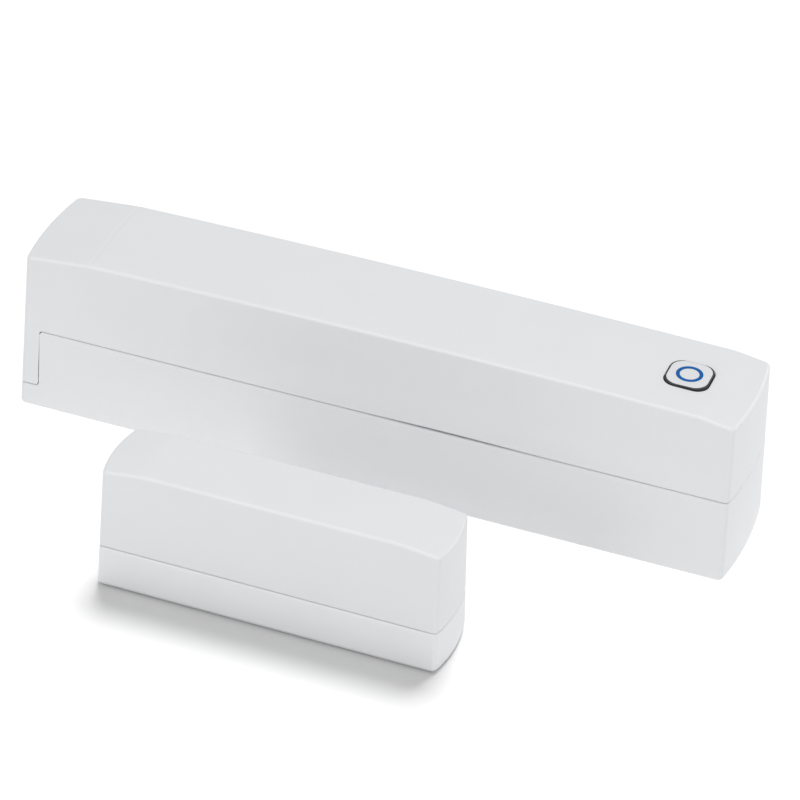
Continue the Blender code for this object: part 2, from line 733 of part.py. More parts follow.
def reed_switch(glass, blade_metal):
    """Glass tube, fixed contact with its lead, the other lead, and the blade that flexes."""
    half = REED_LENGTH / 2
    hole = REED_LEAD + 0.2
    shoulder = (0.3, 0.5)
    plug, throat = 1.2, 1.6
    profile = [
        (hole, half),
        (REED_RADIUS - shoulder[0], half),
        (REED_RADIUS, half - shoulder[1]),
        (REED_RADIUS, -half + shoulder[1]),
        (REED_RADIUS - shoulder[0], -half),
        (hole, -half),
        (hole, -half + plug),
        (REED_BORE, -half + throat),
        (REED_BORE, half - throat),
        (hole, half - plug),
    ]
    center = (MAGNET_X, REED_Y, REED_Z)
    tube = turned("reed_glass", profile, center, glass, steps=24, toward_x=True)

    bend = half + LEAD_REACH
    foot_y = PART_BACK - THIN_GAP / 2
    seal = half - 2 * GAP
    slant = 0.6
    leads = []
    for name, side in (("reed_contact_fixed", 1), ("reed_lead_left", -1)):
        route = [(side * seal, 0.0), (side * (bend - slant), 0.0), (side * bend, slant)]
        points = [(MAGNET_X + x, REED_Y + y, REED_Z) for x, y in route]
        points.append((MAGNET_X + side * bend, foot_y, REED_Z))
        leads.append(link_piece(wire_mesh(name, points, REED_LEAD), blade_metal))

    # Each blade is broad inside the bore and narrow through the glass seal.
    broad = half - throat - GAP
    bottom = REED_Z + BLADE_OFFSET
    top = bottom + BLADE_THICKNESS
    for name, half_width, start, end in (
        ("fixed_blade", BLADE_HALF_WIDTH, -BLADE_OVERLAP, broad),
        ("fixed_neck", BLADE_NECK_HALF_WIDTH, broad - GAP, seal + GAP),
    ):
        low = (MAGNET_X + start, REED_Y - half_width, bottom)
        boolean(leads[0], box(name, low, (MAGNET_X + end, REED_Y + half_width, top)), "UNION")

    top = REED_Z - BLADE_OFFSET
    bottom = top - BLADE_THICKNESS
    hinge = (MAGNET_X - seal + GAP, REED_Y, (top + bottom) / 2)
    low = (hinge[0], REED_Y - BLADE_NECK_HALF_WIDTH, bottom)
    high = (MAGNET_X, REED_Y + BLADE_NECK_HALF_WIDTH, top)
    moving = object_from("reed_blade_moving", box_mesh(low, high), hinge)
    link_piece(moving, blade_metal)
    broad_low = (MAGNET_X - broad, REED_Y - BLADE_HALF_WIDTH, bottom)
    broad_high = (MAGNET_X + BLADE_OVERLAP, REED_Y + BLADE_HALF_WIDTH, top)
    boolean(moving, box("moving_blade", broad_low, broad_high), "UNION")
    hang_on("reed_flex_axis", hinge, moving)
    return tube


def tact_switch(plastic, steel, dark):
    """A six-millimetre tact switch on a bracket, its plunger pointing up at the button."""
    half = TACT_SIZE / 2
    low = (BUTTON_X - half, TACT_Y - half, TACT_BOTTOM)
    high = (BUTTON_X + half, TACT_Y + half, TACT_TOP)
    body = box("tact_switch_body", low, high, plastic, edge=0.25)
    bore_floor = TACT_TOP - PLUNGER_DEPTH - 2 * GAP
    bore_start = (BUTTON_X, TACT_Y, bore_floor)
    bore = cylinder_mesh(PLUNGER_RADIUS + GAP, bore_start, (BUTTON_X, TACT_Y, TACT_TOP + SINK))
    boolean(body, link_cutter(object_from("plunger_bore", bore)))

    reach = half + BRACKET_MARGIN
    bracket_low = (BUTTON_X - reach, high[1] + THIN_GAP, TACT_BOTTOM - BRACKET_MARGIN)
    bracket_high = (BUTTON_X + reach, PART_BACK, TACT_TOP + BRACKET_MARGIN)
    bracket = box("tact_switch_bracket", bracket_low, bracket_high, steel, edge=0.2)

    chamfer = 0.25
    profile = [
        (0.0, PLUNGER_RISE),
        (PLUNGER_RADIUS - chamfer, PLUNGER_RISE),
        (PLUNGER_RADIUS, PLUNGER_RISE - chamfer),
        (PLUNGER_RADIUS, -PLUNGER_DEPTH),
        (0.0, -PLUNGER_DEPTH),
    ]
    plunger = turned("tact_switch_plunger", profile, (BUTTON_X, TACT_Y, TACT_TOP), dark, steps=24)
    hang_on("plunger_axis", (BUTTON_X, TACT_Y, TACT_TOP), plunger)
    return bracket


def button(dark, plastic, blue):
    """Dark collar with its flange and stem, white cap on top, and a plain ring on the cap."""
    middle = (BUTTON_X, BUTTON_Y)
    roof = sensor_roof(BUTTON_X)
    flange_top = roof - SENSOR_WALL - GAP
    flange_bottom = flange_top - FLANGE_THICKNESS
    cap_top = roof + CAP_PROUD
    cap_bottom = cap_top - CAP_THICKNESS
    collar_top = cap_bottom - THIN_GAP / 2

    outline = rounded_square(middle, BUTTON_COLLAR, BUTTON_CORNER)
    collar = object_from("button_collar", prism_mesh(outline, flange_bottom, collar_top))
    link_piece(collar, dark)
    outline = rounded_square(middle, BUTTON_FLANGE, FLANGE_CORNER)
    flange = prism_mesh(outline, flange_bottom, flange_top)
    boolean(collar, link_cutter(object_from("button_flange", flange)), "UNION")
    outline = rounded_square(middle, STEM_SIZE, STEM_CORNER)
    stem = prism_mesh(outline, STEM_BOTTOM, flange_bottom + SINK)
    boolean(collar, link_cutter(object_from("button_stem", stem)), "UNION")

    outline = rounded_square(middle, BUTTON_CAP, BUTTON_CORNER)
    cap = object_from("button_cap", prism_mesh(outline, cap_bottom, cap_top))
    link_piece(bevel(cap, CAP_EDGE), plastic)

    inner = RING_RADIUS - RING_LINE
    top, bottom = RING_THICKNESS, 0.0
    profile = [(inner, top), (RING_RADIUS, top), (RING_RADIUS, bottom), (inner, bottom)]
    mark_origin = (*middle, cap_top + 0.02)
    mark = turned("button_ring", profile, mark_origin, blue, steps=40)
    hang_on("button_axis", (*middle, roof), collar, cap, mark)


# ---------------------------------------------------------------- magnet unit


def magnet_cover(plastic):
    center = (MAGNET_X, MAGNET_Y)
    low = MAGNET_SEAM + GAP / 2
    outside = cover_rings(
        MAGNET_PLAN, center, low, MAGNET_SEAM, MAGNET_DRAFT, magnet_roof, MAGNET_TOP_FILLET
    )
    cover = smooth(object_from("magnet_cover", loft_mesh(outside)))
    link_piece(cover, plastic)
    hollow = cavity_rings(
        MAGNET_HOLLOW_PLAN, center, 0.0, MAGNET_SEAM, MAGNET_DRAFT, magnet_roof, MAGNET_WALL
    )
    return boolean(cover, link_cutter(object_from("magnet_hollow", loft_mesh(hollow))))


def magnet_base(plastic):
    center = (MAGNET_X, MAGNET_Y)
    top = MAGNET_SEAM - GAP / 2
    outside = tray_rings(
        MAGNET_PLAN, center, top, MAGNET_SEAM, MAGNET_DRAFT, SEAM_STEP, SENSOR_FOOT_FILLET
    )
    base = smooth(object_from("magnet_base", loft_mesh(outside)))
    link_piece(base, plastic)
    half_length = MAGNET_LENGTH / 2 - MAGNET_WALL - MAGNET_END_BULGE
    half_width = MAGNET_WIDTH / 2 - MAGNET_WALL
    bay_low = (MAGNET_X - half_length, MAGNET_Y - half_width, FLOOR_TOP)
    bay_high = (MAGNET_X + half_length, MAGNET_Y + half_width, MAGNET_HEIGHT)
    boolean(base, box("magnet_bay", bay_low, bay_high))

    # Two forked posts carry the bar magnet at the height of the reed switch.
    half = POST_THICKNESS / 2
    for i, side in enumerate((-1, 1)):
        x = MAGNET_X + side * (BAR_LENGTH / 2 - half)
        low = (x - half, MAGNET_Y - half_width + GAP, FLOOR_TOP - SINK)
        high = (x + half, MAGNET_Y + half_width - GAP, BAR_BOTTOM + POST_GRIP)
        boolean(base, box(f"post_{i + 1}", low, high), "UNION")
    fork_low = (
        MAGNET_X - BAR_LENGTH / 2 - GAP,
        MAGNET_Y - BAR_WIDTH / 2 - GAP,
        BAR_BOTTOM - GAP,
    )
    fork_high = (MAGNET_X + BAR_LENGTH / 2 + GAP, MAGNET_Y + BAR_WIDTH / 2 + GAP, MAGNET_HEIGHT)
    boolean(base, box("magnet_fork", fork_low, fork_high))

    for name, side in (("magnet_front", -1), ("magnet_back", 1)):
        wall = MAGNET_Y + side * half_width
        lip = wall - side * (GAP + LIP_THICKNESS)
        span = (MAGNET_X - MAGNET_LONG_LIP_HALF, MAGNET_X + MAGNET_LONG_LIP_HALF)
        add_lip(base, name, span, (wall, lip), top)
    for name, side in (("magnet_left", -1), ("magnet_right", 1)):
        wall = MAGNET_X + side * half_length
        lip = wall - side * (GAP + LIP_THICKNESS)
        span = (MAGNET_Y - MAGNET_SHORT_LIP_HALF, MAGNET_Y + MAGNET_SHORT_LIP_HALF)
        add_lip(base, name, (wall, lip), span, top, along="Y")

    pad = (MAGNET_PAD_LENGTH / 2 + GAP, MAGNET_PAD_WIDTH / 2 + GAP)
    recess_low = (MAGNET_X - pad[0], MAGNET_Y - pad[1], -SINK)
    recess_high = (MAGNET_X + pad[0], MAGNET_Y + pad[1], PAD_THICKNESS + GAP)
    return boolean(base, box("magnet_pad_recess", recess_low, recess_high))


def bar_magnet(nickel):
    low = (MAGNET_X - BAR_LENGTH / 2, MAGNET_Y - BAR_WIDTH / 2, BAR_BOTTOM)
    high = (MAGNET_X + BAR_LENGTH / 2, MAGNET_Y + BAR_WIDTH / 2, BAR_TOP)
    return box("bar_magnet", low, high, nickel, edge=0.3)


# ---------------------------------------------------------------- assembly


def build():
    clear_scene()
    make_collection(PIECES)
    make_collection(CUTTERS)
    white = (0.83, 0.84, 0.85)

    cover = sensor_cover(make_material("cover_plastic", white, 0.42))
    hang_on("cover_lift_axis", (0.0, 0.0, SENSOR_SEAM), cover)
    sensor_base(make_material("base_plastic", white, 0.42))
    pad_foam = make_material("pad_foam", (0.80, 0.80, 0.78), 0.9)
    adhesive_pad("sensor_adhesive_pad", (0.0, 0.0), PAD_LENGTH, PAD_WIDTH, pad_foam)

    wrap = make_material("cell_wrap", (0.07, 0.20, 0.12), 0.35)
    right_nub = CAVITY_RIGHT - GAP - PLATE_THICKNESS - GAP
    left_nub = right_nub - CELL_LENGTH - GAP
    battery("battery_right", right_nub, wrap)
    battery("battery_left", left_nub, make_material("cell_wrap_left", (0.07, 0.20, 0.12), 0.35))
    plated = make_material("plated_steel", (0.72, 0.71, 0.68), 0.3, 1.0)
    contact_plate("battery_contact_positive", CAVITY_RIGHT - GAP, -1, plated)
    left_wall = NECK_LEFT + NECK_WALL + GAP
    contact_plate("battery_contact_negative", left_wall, 1, plated)
    coil_start = left_wall + PLATE_THICKNESS + GAP + SPRING_WIRE
    coil_end = left_nub - CELL_LENGTH - GAP - SPRING_WIRE
    battery_spring(coil_start, coil_end, plated)

    circuit_board(make_material("board_laminate", (0.03, 0.20, 0.08), 0.45))
    chip = make_material("chip_resin", (0.03, 0.03, 0.03), 0.5)
    radio_shield(-23.0, 17.2, (15.0, 2.6, 7.6), make_material("shield_steel", (0.75, 0.75, 0.74), 0.35, 1.0))
    board_part("radio_chip", -23.0, 17.2, (5.0, 0.9, 5.0), chip)
    board_part("microcontroller", 17.5, 17.2, (7.0, 1.2, 7.0), chip)
    quartz = make_material("crystal_can", (0.78, 0.77, 0.74), 0.25, 1.0)
    board_part("crystal", 26.0, 18.8, (5.0, 1.3, 3.2), quartz, edge=0.3)
    tantalum = make_material("capacitor_resin", (0.75, 0.50, 0.10), 0.5)
    board_part("bulk_capacitor", 28.0, 14.6, (7.3, 2.8, 3.0), tantalum, edge=0.25)
    ceramic = make_material("chip_ceramic", (0.55, 0.42, 0.28), 0.5)
    for i, (x, z) in enumerate(((12.4, 20.4), (12.4, 17.8), (22.8, 15.0))):
        board_part(f"chip_capacitor_{i + 1}", x, z, (1.0, 0.8, 1.8), ceramic)
    film = make_material("resistor_film", (0.04, 0.04, 0.05), 0.4)
    for i, (x, z) in enumerate(((34.4, 16.2), (34.4, 13.8))):
        board_part(f"chip_resistor_{i + 1}", x, z, (1.0, 0.5, 1.8), film)
    board_part("status_led", 36.2, 20.2, (1.8, 1.1, 1.2), make_material("led_lens", (0.85, 0.86, 0.80), 0.2))
    antenna(make_material("antenna_copper", (0.80, 0.42, 0.22), 0.35, 1.0))
    glass = make_material("reed_glass", (0.60, 0.75, 0.70), 0.1)
    reed_switch(glass, make_material("reed_nickel", (0.70, 0.68, 0.64), 0.3, 1.0))
    dark = make_material("dark_plastic", (0.03, 0.03, 0.03), 0.4)
    tact_switch(chip, plated, dark)

    cap_white = make_material("cap_plastic", white, 0.35)
    button(dark, cap_white, make_material("ring_ink", (0.0, 0.08, 0.35), 0.4))

    magnet_plastic = make_material("magnet_plastic", white, 0.42)
    pieces = [
        magnet_base(magnet_plastic),
        bar_magnet(make_material("magnet_nickel", (0.62, 0.61, 0.58), 0.3, 1.0)),
        adhesive_pad(
            "magnet_adhesive_pad",
            (MAGNET_X, MAGNET_Y),
            MAGNET_PAD_LENGTH,
            MAGNET_PAD_WIDTH,
            pad_foam,
        ),
    ]
    hang_on("magnet_travel_axis", (MAGNET_X, MAGNET_Y, 0.0), *pieces)
    lid = magnet_cover(magnet_plastic)
    hang_on("magnet_cover_lift_axis", (MAGNET_X, MAGNET_Y, MAGNET_SEAM), lid)


build()
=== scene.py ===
"""Looks of the door contact sensor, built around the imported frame.

Lengths are in millimetres, in the frame's axes, and become metres when a mesh is made. Whatever the
frame knows comes from its nodes' boxes; the rest are the small forms that only show up close.
"""

import json
import math
from dataclasses import dataclass

import bmesh
import bpy
from mathutils import Matrix, Vector

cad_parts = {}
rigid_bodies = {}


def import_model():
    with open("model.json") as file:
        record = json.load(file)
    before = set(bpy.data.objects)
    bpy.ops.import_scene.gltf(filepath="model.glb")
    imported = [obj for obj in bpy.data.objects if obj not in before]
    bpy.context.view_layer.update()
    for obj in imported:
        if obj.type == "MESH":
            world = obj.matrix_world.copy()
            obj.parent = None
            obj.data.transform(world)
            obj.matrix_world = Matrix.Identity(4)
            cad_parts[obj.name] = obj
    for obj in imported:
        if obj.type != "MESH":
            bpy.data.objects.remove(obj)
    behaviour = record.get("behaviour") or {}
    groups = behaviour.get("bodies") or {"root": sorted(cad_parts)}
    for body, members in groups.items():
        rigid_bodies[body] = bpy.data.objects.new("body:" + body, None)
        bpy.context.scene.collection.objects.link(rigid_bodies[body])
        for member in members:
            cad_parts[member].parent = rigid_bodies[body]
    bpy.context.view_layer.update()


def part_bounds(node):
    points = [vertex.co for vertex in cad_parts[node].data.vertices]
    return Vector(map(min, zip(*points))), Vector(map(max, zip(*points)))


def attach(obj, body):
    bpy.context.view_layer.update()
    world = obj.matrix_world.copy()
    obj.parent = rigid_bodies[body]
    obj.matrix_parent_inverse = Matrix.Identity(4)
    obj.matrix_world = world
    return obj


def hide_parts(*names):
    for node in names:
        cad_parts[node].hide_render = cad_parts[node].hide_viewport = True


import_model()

MM = 0.001
QUARTER = math.pi / 2
SIDES = (-1, 1)


def node_box(name):
    """A node's lowest and highest corners, in millimetres."""
    low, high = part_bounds(name)
    return low / MM, high / MM


def middle_of(name):
    low, high = node_box(name)
    return (low + high) / 2


# -------- sizes

# Both housings: play at a seam, rounded rims, and the rings and rows that make them smooth.
SEAM_PLAY = 0.11
SEAM_BOW, SEAM_BOW_X, SEAM_BOW_WIDTH = 0.15, 11.5, 9.0
TONGUE_PLAY = 0.05
COVER_RIM = 0.06
SET_IN = 0.10
BASE_RIM = 0.34
UPRIGHT_RIM = 0.5
RIM_STEPS = 4
FILLET_STEPS = 8
END_STEPS = 10
CORNER_STEPS = 8
STEP_TURNS = 6
STATION_STEP = 2.0
CREASE_STEP, CREASE_STEPS = 0.12, 14
LEAN_LENGTH = 8.0
END_BULGE = 0.75
INSIDE_CORNER = 0.9

# Sensor housing.
COVER_LOW, COVER_HIGH = node_box("sensor_cover")
BASE_LOW, BASE_HIGH = node_box("sensor_base")
SENSOR_CENTER = (BASE_LOW + BASE_HIGH) / 2
SENSOR_WIDTH = COVER_HIGH.y - COVER_LOW.y
SENSOR_SEAM = 12.42
SENSOR_DRAFT = 0.032
SENSOR_CORNER = 0.75
SENSOR_WALL = 1.5
SENSOR_FILLET = 0.42
SENSOR_STRAIGHT = 46.0
FOOT_FILLET = 0.6
ROOF_ARCH = 0.365 / 40.0**2
LEFT_CREASE, LEFT_SLOPE, LEFT_BLEND = -40.5, 0.080, 0.10
RIGHT_CREASE, RIGHT_SLOPE, RIGHT_BLEND = 45.0, 0.136, 0.6
CREASE_BEND = 0.4
CREASE_LINE, CREASE_LINE_WIDTH = 0.045, 0.22
TONGUE_EDGE = -47.9
TONGUE_CORNERS = (0.5, 0.7)

# Magnet housing.
LID_LOW, LID_HIGH = node_box("magnet_cover")
TRAY_LOW, TRAY_HIGH = node_box("magnet_base")
MAGNET_CENTER = (TRAY_LOW + TRAY_HIGH) / 2
MAGNET_WIDTH = LID_HIGH.y - LID_LOW.y
MAGNET_SEAM = 6.3
MAGNET_DRAFT = 0.026
MAGNET_CORNER = 0.7
MAGNET_WALL = 1.2
MAGNET_FILLET = 0.40
MAGNET_STRAIGHT = 20.0
TRAY_FOOT = 0.8
MAGNET_CREASE, MAGNET_SLOPE, MAGNET_BLEND = 17.4, 0.125, 0.8

# Inside.
BOARD_LOW, BOARD_HIGH = node_box("circuit_board")
BOARD_FACE = BOARD_LOW.y
CELL = middle_of("battery_left")
CELL_SPOT = (CELL.y, CELL.z)
CELL_RADIUS = (node_box("battery_left")[1].y - node_box("battery_left")[0].y) / 2
BAY_FLOOR = 1.9
PIN_RADIUS, PIN_DEPTH = 1.5, 0.12
COVER_RIBS, RIB_HALF = (-22.0, 20.0), 0.6
COVER_PINS, COVER_PIN_Y = (-34.0, -8.0, 8.0, 30.0), -3.0
SADDLES = (-30.0, -8.0, 14.0, 36.0)
FINS, FIN_HALF, FIN_TOP = (-40.0, 3.0, 43.0), 0.8, 6.0
FLOOR_PINS = (-37.0, -19.0, 3.0, 25.0)
LIP_THICK, LIP_RISE = 0.7, 1.1
PAD_PLAY = 0.5
SHARP_ANGLE = math.radians(35.0)
BUTTON = middle_of("button_cap")
BUTTON_SPOT = (BUTTON.x, BUTTON.y)
BUTTON_CORNER = 1.8
BUTTON_APERTURE = 6.16
COLLAR_SIZE = 5.94


# -------- materials

MATERIALS = {}
EVEN = (1.0, 1.0, 1.0)


def feed(tree, socket, value):
    """Links an input to another node's output, or sets it."""
    if isinstance(value, bpy.types.NodeSocket):
        tree.links.new(value, socket)
    else:
        socket.default_value = value


def fed(tree, node, inputs):
    """A node with its inputs fed. Their names have _ for a space."""
    for name, value in inputs.items():
        feed(tree, node.inputs[name.replace("_", " ")], value)
    return node


def new_node(tree, kind, **inputs):
    return fed(tree, tree.nodes.new("ShaderNode" + kind), inputs)


def noise(tree, coords, scale, detail=3.0, stretch=EVEN):
    """A noise texture in object space, with its pattern stretched along the axes if asked."""
    placed = new_node(tree, "Mapping", Scale=stretch, Vector=coords).outputs["Vector"]
    texture = new_node(tree, "TexNoise", Scale=scale, Detail=detail, Roughness=0.55, Vector=placed)
    return texture.outputs["Fac"]


def remap(tree, value, low, high, start=0.3, end=0.7):
    limits = {"From_Min": start, "From_Max": end, "To_Min": low, "To_Max": high}
    return new_node(tree, "MapRange", Value=value, **limits).outputs["Result"]


def mix(tree, factor, first, second):
    """Two colours, or the colours of two sockets, mixed by a factor."""
    node = tree.nodes.new("ShaderNodeMix")
    node.data_type = "RGBA"
    for i, value in ((0, factor), (6, first), (7, second)):
        feed(tree, node.inputs[i], (*value, 1.0) if isinstance(value, tuple) else value)
    return node.outputs[2]


def relief(tree, height, strength, distance):
    bump = new_node(tree, "Bump", Strength=strength, Distance=distance, Height=height)
    return bump.outputs["Normal"]


def new_material(name):
    """Adds a material, and returns its node tree and object coordinates."""
    material = bpy.data.materials.new(name)
    material.use_nodes = True
    MATERIALS[name] = material
    tree = material.node_tree
    return tree, new_node(tree, "TexCoord").outputs["Object"]


def shade(tree, **inputs):
    fed(tree, tree.nodes["Principled BSDF"], inputs)


def finish(name, color, tint, rough, grain, bump, patch=120.0, stretch=EVEN, **fixed):
    """A material whose colour drifts over patches, with a fine grain in its gloss and its relief.

    rough is the lowest and highest roughness, and fixed sets other inputs, such as Metallic.
    """
    tree, coords = new_material(name)
    patches = noise(tree, coords, patch, 4.0, stretch)
    fine = noise(tree, coords, grain, 2.0, stretch)
    base = mix(tree, remap(tree, patches, 0.0, 1.0), color, tint)
    shade(tree, Base_Color=base, Roughness=remap(tree, fine, *rough))
    shade(tree, Normal=relief(tree, fine, bump, 0.00005), **fixed)


def sleeve_finish(name, nub_x):
    """A cell's printed film: dark body, a metallic band at the positive end and a thin line between them."""
    tree, coords = new_material(name)
    x = new_node(tree, "SeparateXYZ", Vector=coords).outputs["X"]
    wobble = noise(tree, coords, 3000.0)
    band_start, line_start, edge = (nub_x - 12.5) * MM, (nub_x - 13.3) * MM, 0.00002
    drift = remap(tree, noise(tree, coords, 200.0), 0.0, 1.0)
    body = mix(tree, drift, (0.012, 0.040, 0.030), (0.016, 0.048, 0.036))
    band = mix(tree, remap(tree, wobble, 0.0, 1.0), (0.50, 0.26, 0.10), (0.58, 0.31, 0.13))
    in_line = remap(tree, x, 0.0, 1.0, line_start, line_start + edge)
    in_band = remap(tree, x, 0.0, 1.0, band_start, band_start + edge)
    lined = mix(tree, in_line, body, (0.75, 0.75, 0.72))
    shade(tree, Base_Color=mix(tree, in_band, lined, band), Roughness=remap(tree, wobble, 0.24, 0.34))
    shade(tree, Metallic=remap(tree, in_band, 0.0, 0.85, 0.0, 1.0))
    shade(tree, Normal=relief(tree, wobble, 0.08, 0.00004), Coat_Weight=0.5)


def laminate_finish():
    """Bare glass laminate on the board's edges: a woven, slightly yellow resin."""
    tree, coords = new_material("laminate")
    weave = new_node(tree, "TexWave", Scale=900.0, Distortion=1.5, Vector=coords).outputs["Fac"]
    base = mix(tree, weave, (0.46, 0.42, 0.24), (0.62, 0.58, 0.38))
    shade(tree, Base_Color=base, Roughness=remap(tree, weave, 0.55, 0.75, 0.0, 1.0))


def foam_finish():
    """White closed-cell foam: cells cut open at the edges."""
    tree, coords = new_material("foam")
    cells = new_node(tree, "TexVoronoi", Scale=5200.0, Vector=coords).outputs["Distance"]
    soft = noise(tree, coords, 700.0)
    base = mix(tree, remap(tree, soft, 0.0, 1.0), (0.80, 0.80, 0.77), (0.71, 0.71, 0.68))
    shade(tree, Base_Color=base, Roughness=remap(tree, soft, 0.80, 0.95))
    shade(tree, Normal=relief(tree, cells, 0.7, 0.0001))


WHITES = ((0.715, 0.722, 0.733), (0.700, 0.708, 0.720))
# Painted light: the tray is the same plastic as the lid, but its white is painted a little lighter so its
# lower band reads as more brightly lit.
TRAY_WHITES_PAINTED_LIGHTER = ((0.745, 0.752, 0.763), (0.730, 0.738, 0.750))
MOULDED = ((0.34, 0.44), 5200.0, 0.16, 90.0)

# Each row is a name, a colour, its tint, the roughness, the grain, the relief and, if not 120, the patches.
PLAIN = (
    ("cover_plastic", *WHITES, *MOULDED),
    ("base_plastic", *WHITES, *MOULDED),
    ("magnet_plastic", *WHITES, *MOULDED),
    # The tray's lighter white is painted light, not a different plastic.
    ("tray_plastic", *TRAY_WHITES_PAINTED_LIGHTER, *MOULDED),
    ("cap_plastic", (0.69, 0.70, 0.71), (0.67, 0.68, 0.695), (0.26, 0.34), 4200.0, 0.06),
    ("dark_plastic", (0.022, 0.021, 0.020), (0.034, 0.032, 0.031), (0.36, 0.50), 4200.0, 0.2),
    ("release_film", (0.78, 0.77, 0.72), (0.72, 0.71, 0.66), (0.30, 0.40), 900.0, 0.2),
    ("solder_mask", (0.006, 0.085, 0.032), (0.008, 0.105, 0.040), (0.20, 0.30), 1400.0, 0.25, 700.0),
    ("masked_copper", (0.012, 0.175, 0.060), (0.016, 0.205, 0.072), (0.20, 0.30), 1400.0, 0.2, 500.0),
    ("legend_ink", (0.80, 0.80, 0.77), (0.68, 0.68, 0.65), (0.55, 0.70), 5200.0, 0.3, 900.0),
    ("chip_resin", (0.020, 0.020, 0.021), (0.030, 0.030, 0.031), (0.50, 0.66), 6000.0, 0.5, 600.0),
    ("capacitor_resin", (0.70, 0.42, 0.05), (0.60, 0.35, 0.04), (0.45, 0.60), 4200.0, 0.3, 600.0),
    ("stripe_ink", (0.22, 0.10, 0.02), (0.28, 0.13, 0.03), (0.50, 0.60), 4200.0, 0.2),
    ("chip_ceramic", (0.40, 0.27, 0.15), (0.32, 0.21, 0.12), (0.38, 0.55), 6000.0, 0.4, 900.0),
    ("resistor_film", (0.022, 0.022, 0.026), (0.034, 0.034, 0.040), (0.18, 0.30), 6000.0, 0.2, 900.0),
    ("alumina", (0.78, 0.77, 0.74), (0.68, 0.67, 0.64), (0.45, 0.60), 6000.0, 0.3, 900.0),
)
METALS = (
    ("solder", (0.66, 0.66, 0.65), (0.50, 0.50, 0.50), (0.18, 0.38), 2400.0, 0.5, 900.0),
    ("crystal_can", (0.72, 0.71, 0.68), (0.62, 0.60, 0.57), (0.14, 0.28), 2500.0, 0.1),
    ("antenna_copper", (0.78, 0.36, 0.18), (0.62, 0.26, 0.13), (0.22, 0.40), 1800.0, 0.3, 400.0),
    ("magnet_nickel", (0.62, 0.60, 0.56), (0.52, 0.50, 0.47), (0.16, 0.30), 900.0, 0.35),
    ("cell_steel", (0.66, 0.65, 0.62), (0.54, 0.53, 0.50), (0.20, 0.34), 1800.0, 0.15),
)
BRUSHED = (
    ("plated_steel", (0.70, 0.68, 0.64), (0.56, 0.54, 0.50), (0.20, 0.38), 1500.0, 0.15),
    ("shield_steel", (0.66, 0.66, 0.64), (0.54, 0.54, 0.53), (0.26, 0.42), 1600.0, 0.25),
    ("reed_nickel", (0.68, 0.64, 0.56), (0.58, 0.54, 0.47), (0.18, 0.32), 2200.0, 0.15),
)
RING_INK = ((0.0, 0.092, 0.33), (0.0, 0.105, 0.36), (0.40, 0.50), 6000.0, 0.1)
LED_LENS = ((0.86, 0.88, 0.82), (0.78, 0.80, 0.72), (0.08, 0.16), 3000.0, 0.1)
REED_GLASS = ((0.72, 0.90, 0.80), (0.66, 0.86, 0.76), (0.02, 0.05), 1200.0, 0.05)
FLOOR_WHITE = ((0.955, 0.955, 0.955), (0.95, 0.95, 0.95), (0.85, 0.95), 400.0, 0.02)


def make_materials():
    for row in PLAIN:
        finish(*row)
    for row in METALS:
        finish(*row, Metallic=1.0)
    for row in BRUSHED:
        finish(*row, stretch=(0.08, 1.0, 1.0), Metallic=1.0)
    finish("ring_ink", *RING_INK, Specular_IOR_Level=0.15)
    finish("led_lens", *LED_LENS, Transmission_Weight=0.75, IOR=1.52)
    finish("reed_glass", *REED_GLASS, Transmission_Weight=1.0, IOR=1.50)
    finish("floor", *FLOOR_WHITE, Specular_IOR_Level=0.0)
    foam_finish()
    laminate_finish()


# -------- objects


def link(obj):
    bpy.context.scene.collection.objects.link(obj)
    return obj


def object_of(name, bm, kinds=()):
    """An object from a bmesh in millimetres, with its faces turned outward and materials by name."""
    bmesh.ops.recalc_face_normals(bm, faces=bm.faces)
    if bm.calc_volume(signed=True) < 0:
        bmesh.ops.reverse_faces(bm, faces=bm.faces)
    bmesh.ops.scale(bm, vec=(MM, MM, MM), verts=bm.verts)
    mesh = bpy.data.meshes.new(name)
    bm.to_mesh(mesh)
    bm.free()
    for kind in kinds:
        mesh.materials.append(MATERIALS[kind])
    return link(bpy.data.objects.new(name, mesh))


def blank(node, bm, *kinds):
    """A piece before it is carved and shown."""
    return object_of(node + "_fine", bm, kinds)


def carve(obj, bm, operation="DIFFERENCE"):
    """Cuts or joins a shape, and keeps the result as the object's mesh."""
    tool = object_of("tool", bm)
    modifier = obj.modifiers.new("shape", "BOOLEAN")
    modifier.operation = operation
    modifier.object = tool
    graph = bpy.context.evaluated_depsgraph_get()
    old, obj.data = obj.data, bpy.data.meshes.new_from_object(obj.evaluated_get(graph))
    obj.modifiers.clear()
    bpy.data.meshes.remove(old)
    bpy.data.meshes.remove(tool.data)
    obj.data.name = obj.name


def join(obj, bm):
    carve(obj, bm, "UNION")


def show(obj, body="sensor_base"):
    """Shades a piece, and has it ride on its body in place of its CAD node."""
    obj.data.shade_smooth()
    obj.data.set_sharp_from_angle(angle=SHARP_ANGLE)
    obj.modifiers.new("normals", "WEIGHTED_NORMAL").keep_sharp = True
    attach(obj, body)
    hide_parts(obj.name.removesuffix("_fine"))
    return obj


def piece(node, bm, slot, *kinds, body="sensor_base"):
    """A piece that needs no carving, in the slot's own material if no others are named."""
    return show(blank(node, bm, *(kinds or (slot,))), body)


# -------- shapes


def upright(x, y, height):
    return Vector((x, y, height))


def on_board(x, z, height):
    """A point on the board's front, at a height measured out from the board toward the cells."""
    return Vector((x, BOARD_FACE - height, z))


def along_x(y, z, height):
    return Vector((height, y, z))


